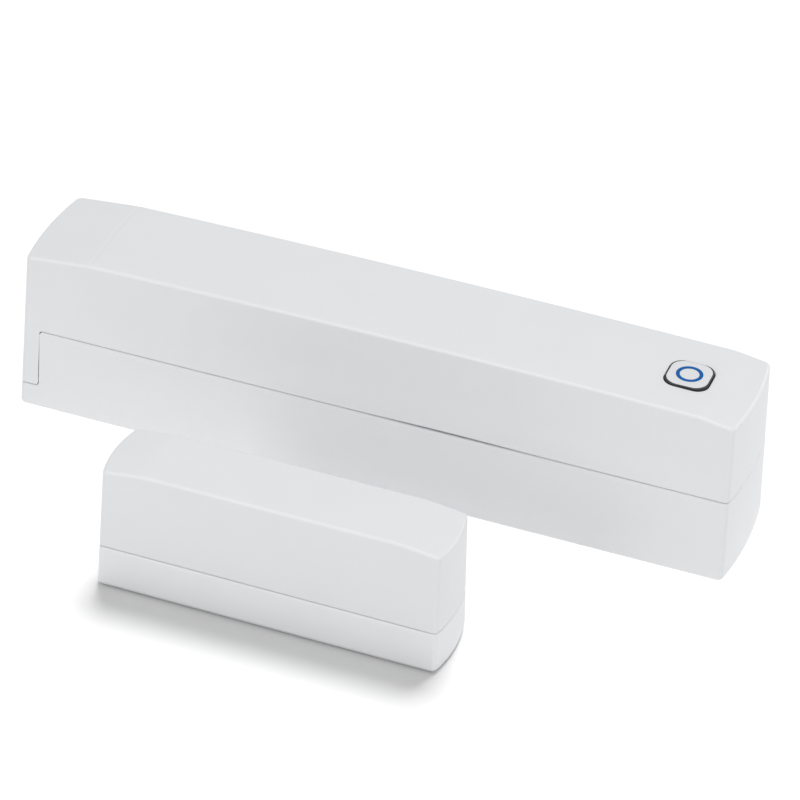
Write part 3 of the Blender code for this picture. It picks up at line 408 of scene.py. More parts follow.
def rounded(width, height, corner, center=(0.0, 0.0), steps=4):
    """A rounded rectangle, as a function of how far it draws in."""

    def outline(inset):
        radius = max(corner - inset, 0.02)
        reach = (width / 2 - inset - radius, height / 2 - inset - radius)
        points = []
        for turn, (sx, sy) in enumerate(((1, 1), (-1, 1), (-1, -1), (1, -1))):
            for i in range(steps + 1):
                angle = QUARTER * (turn + i / steps)
                x = center[0] + sx * reach[0] + radius * math.cos(angle)
                points.append((x, center[1] + sy * reach[1] + radius * math.sin(angle)))
        return points

    return outline


def button_square(size, corner, steps=4):
    return rounded(size, size, corner, BUTTON_SPOT, steps)


def circle(radius, center=(0.0, 0.0), steps=32):
    """A circle, as a function of how far it draws in."""

    def outline(inset):
        angles = [2 * math.pi * i / steps for i in range(steps)]
        reach = radius - inset
        return [(center[0] + reach * math.cos(a), center[1] + reach * math.sin(a)) for a in angles]

    return outline


def stack(outline, levels, place=upright, closed=False, bands=(), bm=None):
    """A solid over copies of an outline; each level is a height and how far the outline draws in there.

    closed joins the last level to the first. bands are the materials of the faces above each level.
    """
    bm = bm or bmesh.new()
    rows = [[bm.verts.new(place(x, y, height)) for x, y in outline(inset)] for height, inset in levels]
    count = len(rows[0])
    pairs = list(zip(rows, rows[1:])) + ([(rows[-1], rows[0])] if closed else [])
    for k, (lower, upper) in enumerate(pairs):
        for i in range(count):
            j = (i + 1) % count
            face = bm.faces.new((lower[i], lower[j], upper[j], upper[i]))
            face.material_index = bands[k] if k < len(bands) else 0
    if not closed:
        bm.faces.new(rows[0]).material_index = bands[0] if bands else 0
        bm.faces.new(rows[-1]).material_index = bands[-1] if bands else 0
    return bm


def arc(steps):
    """The sines and cosines over a quarter turn."""
    return [(math.sin(QUARTER * i / steps), math.cos(QUARTER * i / steps)) for i in range(steps + 1)]


def edged(low, high, low_radius, high_radius, steps=3):
    """Levels of a block from low to high, with its edges rounded by a quarter circle."""
    levels = [(low + low_radius * (1 - c), low_radius * (1 - s)) for s, c in arc(steps)]
    return levels + [(high - high_radius * (1 - s), high_radius * (1 - c)) for s, c in arc(steps)]


def ordered(first, second):
    """The lowest and highest corners of the box between two corners."""
    return [[pick(pair) for pair in zip(first, second)] for pick in (min, max)]


def block(bm, first, second, corner=0.2, edge=0.12, material=0, place=on_board):
    """A box with rounded corners and edges, between two corners in the order that place takes."""
    low, high = ordered(first, second)
    center = ((low[0] + high[0]) / 2, (low[1] + high[1]) / 2)
    outline = rounded(high[0] - low[0], high[1] - low[1], corner, center)
    levels = edged(low[2], high[2], edge, edge)
    return stack(outline, levels, place, bands=[material] * len(levels), bm=bm)


def slab(bm, x, z, half_x, half_z, low, high, corner, edge, material=0):
    """A block on the board, from its middle, half its sizes and its heights."""
    return block(bm, (x - half_x, z - half_z, low), (x + half_x, z + half_z, high), corner, edge, material)


def plain_box(low, high):
    bm = bmesh.new()
    low, high = Vector(low), Vector(high)
    size = Matrix.Diagonal((*(high - low), 1.0))
    bmesh.ops.create_cube(bm, size=1.0, matrix=Matrix.Translation((low + high) / 2) @ size)
    return bm


def rib(obj, x, half, low, high):
    """Joins a wall across the housing at x, between two corners in Y and Z."""
    join(obj, plain_box((x - half, *low), (x + half, *high)))


def bore(obj, center, radius, low, high, steps=32, place=upright):
    """Cuts a round hole from one height to another."""
    carve(obj, stack(circle(radius, center, steps), [(low, 0.0), (high, 0.0)], place))


def sweep(points, radius, sides):
    """A round wire along points, its ends capped."""
    bm = bmesh.new()
    points = [Vector(p) for p in points]
    rows = []
    side = None
    for i, point in enumerate(points):
        ahead = points[min(i + 1, len(points) - 1)] - points[max(i - 1, 0)]
        ahead.normalize()
        if side is None:
            side = ahead.orthogonal().normalized()
        side = (side - ahead * side.dot(ahead)).normalized()
        up = ahead.cross(side)
        angles = [2 * math.pi * k / sides for k in range(sides)]
        rows.append([bm.verts.new(point + radius * (side * math.cos(a) + up * math.sin(a))) for a in angles])
    for first, second in zip(rows, rows[1:]):
        for k in range(sides):
            n = (k + 1) % sides
            bm.faces.new((first[k], first[n], second[n], second[k]))
    bm.faces.new(rows[0])
    bm.faces.new(rows[-1])
    return bm


def bent(points, radius, steps=5):
    """A polyline with its inner corners rounded by an arc of about this radius."""
    points = [Vector(p) for p in points]
    route = [points[0]]
    for before, corner, after in zip(points, points[1:], points[2:]):
        reach = min(radius, (before - corner).length / 2.01, (after - corner).length / 2.01)
        start = corner + (before - corner).normalized() * reach
        end = corner + (after - corner).normalized() * reach
        for i in range(steps + 1):
            t = i / steps
            route.append(start * (1 - t) ** 2 + corner * 2 * t * (1 - t) + end * t**2)
    return route + [points[-1]]


# -------- housings


@dataclass
class Plan:
    """A housing seen from above: straight sides, and ends that are shallow arcs with rounded corners.

    It is measured at one level, and draws in by its draft for each millimetre above that.
    """

    center: Vector
    length: float
    width: float
    level: float
    corner: float
    draft: float

    def inner(self, wall):
        """The plan of the hollow inside a wall of this thickness."""
        size = (self.length - 2 * wall, self.width - 2 * wall)
        return Plan(self.center, *size, self.level, INSIDE_CORNER, self.draft)

    def inset(self, z):
        return self.draft * (z - self.level)

    def end(self, inset):
        """The right end's front half, from its tip to where the straight side starts."""
        half = self.width / 2 - inset
        radius = (half**2 + END_BULGE**2) / (2 * END_BULGE)
        middle = self.length / 2 - inset - radius
        swing = math.asin((half - self.corner) / (radius - self.corner))
        corner_x = middle + (radius - self.corner) * math.cos(swing)
        points = []
        for i in range(END_STEPS):
            angle = swing * i / END_STEPS
            points.append((middle + radius * math.cos(angle), -radius * math.sin(angle)))
        for i in range(CORNER_STEPS + 1):
            angle = swing + (QUARTER - swing) * i / CORNER_STEPS
            x = corner_x + self.corner * math.cos(angle)
            points.append((x, -(half - self.corner) - self.corner * math.sin(angle)))
        return points

    def lean(self, x, inset):
        """A side's x near its end, drawn in as far as the side's straight part has drawn in."""
        start = self.length / 2 - LEAN_LENGTH
        full, now = self.end(0.0)[-1][0], self.end(inset)[-1][0]
        if abs(x) < start:
            return x
        return math.copysign(start + (abs(x) - start) * (now - start) / (full - start), x)

    def at(self, stop, inset, push=0.0, leaning=False):
        """The plan's point at a stop, with x and y from the housing's middle."""
        kind, where, _, dx, _ = stop
        if kind == "side":
            x = where + dx * push
            return self.lean(x, inset) if leaning else x, -(self.width / 2 - inset)
        x, y = self.end(inset)[where]
        return (-x if kind == "left" else x), y


def rim_stops(plan, stations, toward, high, step=None):
    """The front half of a housing's rim, from the left tip to the right tip.

    Each stop is where it lies on the plan, its height, and the direction along the wall into the
    material, which lies above the rim if toward is 1 and below it if toward is -1. A step is the
    place, the lower height and the two corner radii where the rim steps down over the left end.
    """
    count = END_STEPS + CORNER_STEPS
    low = step[1] if step else high
    stops = [("left", i, low, 0.0, toward) for i in range(count + 1)]
    start = -plan.length
    if step:
        edge, _, (foot, shoulder) = step
        for s, c in arc(STEP_TURNS):
            stops.append(("side", edge - foot + foot * s, low + foot - foot * c, -toward * s, toward * c))
        for s, c in arc(STEP_TURNS):
            x, z = edge + shoulder - shoulder * c, high - shoulder + shoulder * s
            stops.append(("side", x, z, -toward * c, toward * s))
        start = edge + shoulder + 0.1
    stops += [("side", x, high, 0.0, toward) for x in stations if x > start]
    return stops + [("right", i, high, 0.0, toward) for i in range(count, -1, -1)]


def housing_mesh(plan, stops, toward, height, radius, across=8, rim=COVER_RIM):
    """A solid with a housing's outside: rim, wall, a rounded far edge, and a far face at height(x, y).

    The front half is made and mirrored. toward is 1 where the far face is above the rim.
    """
    bm = bmesh.new()
    center = plan.center

    def vertex(x, y, z):
        return bm.verts.new((x + center.x, y, z))

    def rim_at(stop):
        """The rim's radius, which is smaller where the rim runs up the end of a tongue."""
        return rim * (1 - (1 - UPRIGHT_RIM) * abs(stop[3]))

    rings = []
    for s, c in arc(RIM_STEPS):
        ring = []
        for stop in stops:
            push, depth = rim_at(stop) * (1 - c), rim_at(stop) * (1 - s)
            z = stop[2] + stop[4] * push
            ring.append(vertex(*plan.at(stop, plan.inset(z) + depth, push), z))
        rings.append(ring)

    columns = []
    for stop, vert in zip(stops, rings[-1]):
        if columns and stop[0] == "side" and abs(vert.co.x - columns[-1][1][-1].co.x) < 1e-4:
            columns[-1][1].append(vert)
        else:
            columns.append((stop, [vert]))

    rows = []
    for s, c in arc(FILLET_STEPS):
        row = []
        for stop, _ in columns:
            x, y = plan.at(stop, plan.inset(stop[2]), rim_at(stop))
            inset = plan.inset(height(x, y) - toward * radius) + radius * (1 - c)
            x, y = plan.at(stop, inset, rim_at(stop), leaning=True)
            row.append(vertex(x, y, height(x, y) - toward * radius * (1 - s)))
        rows.append(row)

    def skin(lower, upper):
        for a, b, c, d in zip(lower, lower[1:], upper[1:], upper):
            corners = list(dict.fromkeys((a, b, c, d)))
            if len(corners) > 2:
                bm.faces.new(corners)

    for lower, upper in zip(rings, rings[1:]):
        skin(lower, upper)
    for (_, left), (_, right), a, b in zip(columns, columns[1:], rows[0], rows[0][1:]):
        rises_left = (left[-1].co.z - left[0].co.z) * toward
        rises_right = (right[-1].co.z - right[0].co.z) * toward
        lower = (left if rises_left < 0 else left[-1:]) + (right if rises_right > 0 else right[:1])
        bm.faces.new(lower + [b, a])
    for lower, upper in zip(rows, rows[1:]):
        skin(lower, upper)

    def strips(row, count, rise):
        """Carries a row of points over to the middle plane in equal steps."""
        previous = row
        for k in range(1, count + 1):
            line = []
            for vert in row:
                x, y = vert.co.x - center.x, vert.co.y * (1 - k / count)
                on_tip = abs(vert.co.y) < 1e-6
                line.append(vert if on_tip else vertex(x, y, rise(x, y, vert.co.z)))
            skin(previous, line)
            previous = line

    strips(rings[0], 1, lambda x, y, z: z)
    strips(rows[-1], across, lambda x, y, z: height(x, y))

    copy = bmesh.ops.duplicate(bm, geom=bm.verts[:] + bm.edges[:] + bm.faces[:])["geom"]
    twins = [g for g in copy if isinstance(g, bmesh.types.BMVert)]
    bmesh.ops.scale(bm, vec=(1.0, -1.0, 1.0), verts=twins)
    bmesh.ops.remove_doubles(bm, verts=bm.verts, dist=1e-5)
    bmesh.ops.translate(bm, vec=(0.0, center.y, 0.0), verts=bm.verts)
    return bm


def stations_between(end, creases=()):
    """Even stations along a side, with close ones about each crease."""
    spots = [-end + STATION_STEP * i for i in range(int(2 * end / STATION_STEP) + 1)]
    for crease in creases:
        spots = [x for x in spots if abs(x - crease) > (CREASE_STEPS + 1) * CREASE_STEP + 0.1]
        spots += [crease + CREASE_STEP * k for k in range(-CREASE_STEPS, CREASE_STEPS + 1)]
    return sorted(spots)


def past(distance, blend):
    """How far a point lies past a crease, rounded off over blend."""
    return 0.5 * (distance + math.sqrt(distance**2 + blend**2))


def bowed(y, width):
    """How far an arc that runs across a roof bends outward at y."""
    return CREASE_BEND * (1 - (y / (width / 2)) ** 2)


def sensor_roof(x, y):
    beyond = LEFT_CREASE - bowed(y, SENSOR_WIDTH) - x
    left = past(beyond, LEFT_BLEND)
    right = past(x - RIGHT_CREASE - bowed(y, SENSOR_WIDTH), RIGHT_BLEND)
    line = CREASE_LINE * math.exp(-((beyond / CREASE_LINE_WIDTH) ** 2))
    return COVER_HIGH.z - ROOF_ARCH * x**2 - LEFT_SLOPE * left - RIGHT_SLOPE * right - line


def sensor_ceiling(x, y):
    return sensor_roof(x, y) - SENSOR_WALL


def magnet_roof(x, y):
    beyond = abs(x) - MAGNET_CREASE - bowed(y, MAGNET_WIDTH)
    return LID_HIGH.z - MAGNET_SLOPE * past(beyond, MAGNET_BLEND)


def plan_of(center, size, level, corner, draft, set_in=0.0):
    return Plan(center, size[0] - 2 * set_in, size[1] - 2 * set_in, level, corner, draft)


COVER_SIZE = (-2 * COVER_LOW.x, SENSOR_WIDTH)
BASE_SIZE = (BASE_HIGH.x - BASE_LOW.x, BASE_HIGH.y - BASE_LOW.y)
LID_SIZE = (LID_HIGH.x - LID_LOW.x, MAGNET_WIDTH)
TRAY_SIZE = (TRAY_HIGH.x - TRAY_LOW.x, TRAY_HIGH.y - TRAY_LOW.y)
COVER_PLAN = plan_of(SENSOR_CENTER, COVER_SIZE, COVER_LOW.z, SENSOR_CORNER, SENSOR_DRAFT, SET_IN)
BASE_PLAN = plan_of(SENSOR_CENTER, BASE_SIZE, FOOT_FILLET, SENSOR_CORNER, SENSOR_DRAFT)
LID_PLAN = plan_of(MAGNET_CENTER, LID_SIZE, LID_LOW.z, MAGNET_CORNER, MAGNET_DRAFT, SET_IN)
TRAY_PLAN = plan_of(MAGNET_CENTER, TRAY_SIZE, TRAY_FOOT, MAGNET_CORNER, MAGNET_DRAFT)


def hollow(plan, wall, height, radius):
    """The hollow inside a cover: its walls keep the wall's thickness, and its far edge is rounded."""
    inner = plan.inner(wall - SET_IN)
    stops = rim_stops(inner, stations_between(inner.length / 2 - 4.0), 1, 0.0)
    return housing_mesh(inner, stops, 1, height, radius, across=2, rim=0.02)


def tray_mesh(plan, stops, foot):
    return housing_mesh(plan, stops, -1, lambda x, y: 0.0, foot, across=2, rim=BASE_RIM)


def gaping(stops):
    """The stops of a rim that bows away from the seam by a hair along its middle."""
    moved = []
    for kind, where, z, dx, dz in stops:
        offset = (where - SEAM_BOW_X) / SEAM_BOW_WIDTH
        rise = SEAM_BOW * math.exp(-(offset**2)) if kind == "side" else 0.0
        moved.append((kind, where, z + rise * dz, dx, dz))
    return moved


def sensor_cover():
    stations = stations_between(SENSOR_STRAIGHT, (LEFT_CREASE, RIGHT_CREASE))
    step = (TONGUE_EDGE, COVER_LOW.z, TONGUE_CORNERS)
    stops = gaping(rim_stops(COVER_PLAN, stations, 1, SENSOR_SEAM + SEAM_PLAY / 2, step))
    outside = housing_mesh(COVER_PLAN, stops, 1, sensor_roof, SENSOR_FILLET)
    cover = blank("sensor_cover", outside, "cover_plastic")
    carve(cover, hollow(COVER_PLAN, SENSOR_WALL, sensor_ceiling, 0.5))

    # Square guide round the button's flange, its well, and the opening with a rounded edge.
    collar_low, collar_high = node_box("button_collar")
    well, guide_wall, guide_bottom = collar_high.x - collar_low.x + 0.6, 0.8, 21.4
    under = sensor_ceiling(*BUTTON_SPOT)
    guide = button_square(well + 2 * guide_wall, 1.8)
    join(cover, stack(guide, edged(guide_bottom, under + 0.3, 0.2, 0.0)))
    carve(cover, stack(button_square(well, 1.0), [(guide_bottom - 0.5, 0.0), (under, 0.0)]))
    lip, steps, last_turn = 0.14, 5, math.radians(78.0)
    levels = [(-3.0, 0.0)]
    for i in range(steps + 1):
        turn = last_turn * i / steps
        levels.append((lip * (math.sin(turn) - 1), -lip * (1 - math.cos(turn))))
    levels.append((0.5, levels[-1][1] - 0.12))
    opening = button_square(BUTTON_APERTURE, BUTTON_CORNER, 10)
    carve(cover, stack(opening, levels, lambda x, y, h: Vector((x, y, sensor_roof(x, y) + h))))

    # Two ribs that keep the board down, and round marks left by the ejector pins.
    for x in COVER_RIBS:
        rib(cover, x, RIB_HALF, (BOARD_LOW.y - 0.5, BOARD_HIGH.z + 0.3), (7.6, sensor_ceiling(x, 7.0) + 0.4))
    for x in COVER_PINS:
        mark = sensor_ceiling(x, COVER_PIN_Y)
        bore(cover, (x, COVER_PIN_Y), PIN_RADIUS, mark - 0.5, mark + PIN_DEPTH)
    show(cover, "sensor_cover")


def lips(obj, spans, top):
    """Thin lips inside a tray's rim, each a foot joined to the wall and a tongue that stands above it.

    A span is two corners seen from above, the axis across the lip, and its wall's side.
    """
    for first, second, axis, side in spans:
        low, high = ordered(first, second)
        foot = (Vector((*low, top - 1.0)), Vector((*high, top - 0.1)))
        tongue = (Vector((*low, top - 0.8)), Vector((*high, top + LIP_RISE)))
        near, far = (0, 1) if side > 0 else (1, 0)
        foot[far][axis] += side * 0.4
        tongue[near][axis] += side * 0.02
        tongue[far][axis] -= side * 0.3
        tongue[0][1 - axis] += 0.3
        tongue[1][1 - axis] -= 0.3
        join(obj, plain_box(*foot))
        join(obj, plain_box(*tongue))


def pad_recess(obj, node, corner, center):
    low, high = node_box(node)
    recess = rounded(high.x - low.x + PAD_PLAY, high.y - low.y + PAD_PLAY, corner, center)
    carve(obj, stack(recess, [(-0.5, 0.0), (high.z + 0.15, 0.0)]))


def sensor_base():
    top = SENSOR_SEAM - SEAM_PLAY / 2
    step = (TONGUE_EDGE + TONGUE_PLAY, COVER_LOW.z - SEAM_PLAY, TONGUE_CORNERS)
    stops = gaping(rim_stops(BASE_PLAN, stations_between(SENSOR_STRAIGHT), -1, top, step))
    base = blank("sensor_base", tray_mesh(BASE_PLAN, stops, FOOT_FILLET), "base_plastic")

    # Neck behind the tongue, then the battery bay, which reaches into it.
    neck_left, neck_half, neck_wall = -48.4, 7.0, 1.2
    bay_left, bay_right, bay_half = -46.3, 49.3, 7.5
    neck_right = bay_left + 1.0
    neck_middle = ((neck_left + neck_right) / 2, 0.0)
    neck = rounded(neck_right - neck_left, 2 * neck_half, 0.5, neck_middle)
    join(base, stack(neck, edged(2.4, top - 0.3, 0.0, 0.3)))
    bay = rounded(bay_right - bay_left, 2 * bay_half, 0.8, ((bay_left + bay_right) / 2, 0.0))
    carve(base, stack(bay, edged(BAY_FLOOR, 40.0, 0.4, 0.0)))
    end_low = (neck_left + neck_wall, -neck_half + neck_wall, BAY_FLOOR + 0.2)
    carve(base, plain_box(end_low, (neck_right, neck_half - neck_wall, 30.0)))

    # Saddles cut to the cells, fins with a slot for the board, lips inside the rim.
    for x in SADDLES:
        rib(base, x, RIB_HALF, (-bay_half - 0.5, BAY_FLOOR - 0.5), (BOARD_LOW.y - 1.5, CELL.z - 1.0))
    bore(base, CELL_SPOT, CELL_RADIUS + 0.2, -32.0, 38.0, 64, along_x)
    for x in FINS:
        rib(base, x, FIN_HALF, (BOARD_LOW.y - 1.3, BAY_FLOOR - 0.5), (bay_half + 0.5, FIN_TOP))
    slot_low = (BOARD_LOW.x - 0.3, BOARD_LOW.y - 0.2, BAY_FLOOR + 0.1)
    carve(base, plain_box(slot_low, (BOARD_HIGH.x + 0.3, BOARD_HIGH.y + 0.2, SENSOR_SEAM)))
    spans = [((-40.0, side * bay_half), (44.0, side * (bay_half - LIP_THICK)), 1, side) for side in SIDES]
    lips(base, [*spans, ((48.0, -6.2), (bay_right, 6.2), 0, 1)], top)

    # Recess for the adhesive pad, and round marks left by the ejector pins on the floor.
    pad_recess(base, "sensor_adhesive_pad", 1.0, (0.0, 0.0))
    for x in FLOOR_PINS:
        bore(base, (x, CELL.y), PIN_RADIUS, BAY_FLOOR - PIN_DEPTH, BAY_FLOOR + 0.3)
    show(base)


def magnet_cover():
    stations = stations_between(MAGNET_STRAIGHT, (-MAGNET_CREASE, MAGNET_CREASE))
    stops = rim_stops(LID_PLAN, stations, 1, MAGNET_SEAM + SEAM_PLAY / 2)
    outside = housing_mesh(LID_PLAN, stops, 1, magnet_roof, MAGNET_FILLET)
    cover = blank("magnet_cover", outside, "magnet_plastic")
    carve(cover, hollow(LID_PLAN, MAGNET_WALL, lambda x, y: magnet_roof(x, y) - MAGNET_WALL, 0.4))

    # Two crossed ribs under the roof that hold the magnet down, and ejector-pin marks.
    middle, bar_top = MAGNET_CENTER, node_box("bar_magnet")[1].z
    mark = LID_HIGH.z - MAGNET_WALL
    for side in SIDES:
        spot = middle.x + side * 10.0
        rib(cover, spot, 0.4, (middle.y - 4.9, bar_top + 0.3), (middle.y + 4.9, LID_HIGH.z - 1.0))
        bore(cover, (middle.x + side * 5.0, middle.y), 1.2, mark - 0.4, mark + 0.1)
    show(cover, "magnet_cover")


def magnet_base():
    top = MAGNET_SEAM - SEAM_PLAY / 2
    stops = rim_stops(TRAY_PLAN, stations_between(MAGNET_STRAIGHT), -1, top)
    # The tray's plastic is painted lighter than the lid's, a painted brightening of its lower band.
    base = blank("magnet_base", tray_mesh(TRAY_PLAN, stops, TRAY_FOOT), "tray_plastic")
    x, y = middle = (MAGNET_CENTER.x, MAGNET_CENTER.y)
    half_length, half_width = 24.0 - MAGNET_WALL - END_BULGE, 5.7 - MAGNET_WALL
    bay = rounded(2 * half_length, 2 * half_width, 0.6, middle)
    carve(base, stack(bay, edged(BAY_FLOOR, 30.0, 0.3, 0.0)))

    # Forked posts under the bar magnet, lips inside the rim and a recess for the adhesive pad.
    bar_low, bar_high = node_box("bar_magnet")
    for post_x in (bar_low.x + 1.6, bar_high.x - 1.6):
        post = rounded(3.2, 2 * half_width - 0.6, 0.3, (post_x, y))
        join(base, stack(post, edged(BAY_FLOOR - 0.5, bar_low.z + 3.0, 0.0, 0.25)))
    fork_low = bar_low - Vector((0.3, 0.2, 0.2))
    carve(base, plain_box(fork_low, (bar_high.x + 0.3, bar_high.y + 0.2, 30.0)))
    spans = []
    for side in SIDES:
        lip_y, wall_y = y + side * (half_width - LIP_THICK), y + side * half_width
        lip_x, wall_x = x + side * (half_length - LIP_THICK), x + side * half_length
        spans.append(((x - 20.5, lip_y), (x + 20.5, wall_y), 1, side))
        spans.append(((lip_x, y - 3.4), (wall_x, y + 3.4), 0, side))
    lips(base, spans, top)
    pad_recess(base, "magnet_adhesive_pad", 0.8, middle)
    show(base, "magnet_unit")


# -------- pads, power


def adhesive_pad(node, body):
    """Foam tape with rounded corners: foam drawn in a little between two adhesive films."""
    low, high = node_box(node)
    middle = (low + high) / 2
    outline = rounded(high.x - low.x, high.y - low.y, 0.9, (middle.x, middle.y), 5)
    film, waist = 0.06, 0.05
    levels = [(low.z, 0.02), (low.z + film, 0.0), (low.z + 2 * film, waist), (middle.z, 1.6 * waist)]
    levels += [(high.z - 2 * film, waist), (high.z - film, 0.0), (high.z, 0.02)]
    bm = stack(outline, levels, bands=[0, 1, 1, 1, 1, 0])
    obj = piece(node, bm, "pad_foam", "release_film", "foam", body=body)


def battery(node):
    """An AAA cell: film sleeve turned over both ends, crimped shoulder, stepped nub, dished bottom."""
    low, high = node_box(node)
    full, groove, nub, film = CELL_RADIUS, CELL_RADIUS - 0.12, 1.9, 0.07
    shoulder = high.x - 1.1

    # Each point is its x from the cell's bottom, its shoulder or its nub's end, and its radius.
    bottom = [(0.35, 0.02), (0.35, 2.6), (0.18, 3.1), (0.05, 3.5), (0.05, 3.95)]
    sleeve = [(0.0, 4.1), (0.0, 4.85), (0.12, 5.13), (0.40, full), (16.0, full), (32.0, full)]
    crimp = [(-1.75, full), (-1.5, groove), (-1.2, groove), (-0.95, full), (-0.40, full)]
    crimp += [(-0.12, 5.13), (0.0, 4.85)]
    rise = [(0.0, 4.1), (-film, 4.0), (-0.25, 3.8), (-0.30, 2.5), (-0.10, nub + 0.25), (0.10, nub)]
    tip = [(-0.20, nub), (-0.05, nub - 0.12), (0.0, nub - 0.35), (0.0, 0.02)]
    parts = ((low.x, bottom, 1), (low.x, sleeve, 0), (shoulder, crimp, 0), (shoulder, rise, 1))
    parts += ((high.x, tip, 1),)
    levels = [(start + x, full - radius) for start, points, _ in parts for x, radius in points]
    bands = [band for _, points, band in parts for _ in points]
    sleeve_finish(node + "_sleeve", high.x)
    bm = stack(circle(full, CELL_SPOT, 64), levels, along_x, bands=bands)
    piece(node, bm, "cell_wrap", node + "_sleeve", "cell_steel")


def contact_plate(node):
    """Spring-steel plate with rounded corners and a tab on the board; the positive one has a boss."""
    low, high = node_box(node)
    side = 1.0 if node.endswith("negative") else -1.0
    wall, tip = (low.x, high.x) if side > 0 else (high.x, low.x)
    thick, tab_gap, tab_half = 0.4, 0.3, 1.6
    face = wall + side * thick
    bm = block(bmesh.new(), (low.y, low.z, wall), (high.y, high.z, face), 0.9, 0.08, place=along_x)
    tab = (wall + side * 0.1, CELL.z - tab_half, tab_gap)
    block(bm, tab, (tip, CELL.z + tab_half, tab_gap + thick), 0.5, 0.08)
    obj = blank(node, bm, "plated_steel")
    if side < 0:
        boss_radius, boss_height = 1.5, 0.25
        levels = [(face - side * 0.2, 0.0), (face + side * 0.02, 0.0)]
        levels += [(face + side * boss_height * s, boss_radius * 0.6 * (1 - c)) for s, c in arc(4)]
        join(obj, stack(circle(boss_radius, CELL_SPOT), levels, along_x))
    show(obj)


def battery_spring():
    """Conical coil with a closed first turn, pressed between the contact and the cell."""
    low, high = node_box("battery_spring")
    wire, turns, steps, closed = 0.25, 4.6, 26, 0.8
    wide, narrow = (high.y - low.y) / 2 - wire, 2.2
    center = middle_of("battery_spring")
    points = []
    for i in range(int(turns * steps) + 1):
        turn = i / steps
        along = max(0.0, (turn - closed) / (turns - closed))
        radius = wide + (narrow - wide) * along
        angle = 2 * math.pi * turn
        x = low.x + wire + (high.x - low.x - 2 * wire) * along
        points.append((x, center.y + radius * math.cos(angle), center.z + radius * math.sin(angle)))
    piece("battery_spring", sweep(points, wire, 10), "plated_steel")


# -------- circuit board

CHIP_CAPACITORS = [f"chip_capacitor_{i}" for i in (1, 2, 3)]
CHIP_RESISTORS = [f"chip_resistor_{i}" for i in (1, 2)]
SOLDER, TRACK, LEGEND = 2, 3, 4
PRINT = 0.03


def strip(bm, points, width, material):
    """A flat track on the board's front, along points in X and Z, with mitred corners."""
    points = [Vector(p) for p in points]
    ways = [(after - before).normalized() for before, after in zip(points, points[1:])]
    sides = []
    for i, point in enumerate(points):
        normals = [Vector((-way.y, way.x)) for way in ways[max(i - 1, 0) : i + 1]]
        normal = sum(normals, Vector((0.0, 0.0))).normalized()
        reach = width / 2 / max(0.5, normal.dot(normals[0]))
        sides.append((point + normal * reach, point - normal * reach))
    outline = [a for a, _ in sides] + [b for _, b in reversed(sides)]
    bottom = [bm.verts.new(on_board(p.x, p.y, 0.0)) for p in outline]
    top = [bm.verts.new(on_board(p.x, p.y, PRINT)) for p in outline]
    count = len(outline)
    for a in range(len(points) - 1):
        b = count - 1 - a
        for side in (top, bottom):
            bm.faces.new((side[a], side[a + 1], side[b - 1], side[b])).material_index = material
    for i in range(count):
        j = (i + 1) % count
        bm.faces.new((bottom[i], bottom[j], top[j], top[i])).material_index = material


def pad(bm, x, z, width, height):
    outline = rounded(width, height, min(width, height) * 0.25, (x, z), 2)
    stack(outline, [(0.0, 0.0), (PRINT, 0.0), (0.05, 0.04)], on_board, bands=[SOLDER] * 3, bm=bm)


def via(bm, x, z, radius, behind=False):
    """A tinned ring with a hole down its middle."""
    rings = [(0.0, 0.0), (0.04, 0.0), (0.05, 0.04), (0.05, radius * 0.45), (0.0, radius * 0.5)]
    back = BOARD_HIGH.y - BOARD_FACE
    place = (lambda a, b, h: on_board(a, b, -back - h)) if behind else on_board
    stack(circle(radius, (x, z), 14), rings, place, bands=[SOLDER] * 5, bm=bm)


def part_box(node):
    """A board part's middle in X and Z, its width and height there, and its nearest and farthest heights."""
    low, high = node_box(node)
    middle = ((low.x + high.x) / 2, (low.z + high.z) / 2)
    return *middle, high.x - low.x, high.z - low.z, BOARD_FACE - high.y, BOARD_FACE - low.y


def frame_lines(bm, node, margin):
    """A printed outline round a part."""
    x, z, width, height, _, _ = part_box(node)
    w, h = width / 2 + margin, height / 2 + margin
    for side in SIDES:
        strip(bm, ((x - w, z + side * h), (x + w, z + side * h)), 0.12, LEGEND)
    for side in SIDES:
        strip(bm, ((x + side * w, z - h), (x + side * w, z + h)), 0.12, LEGEND)


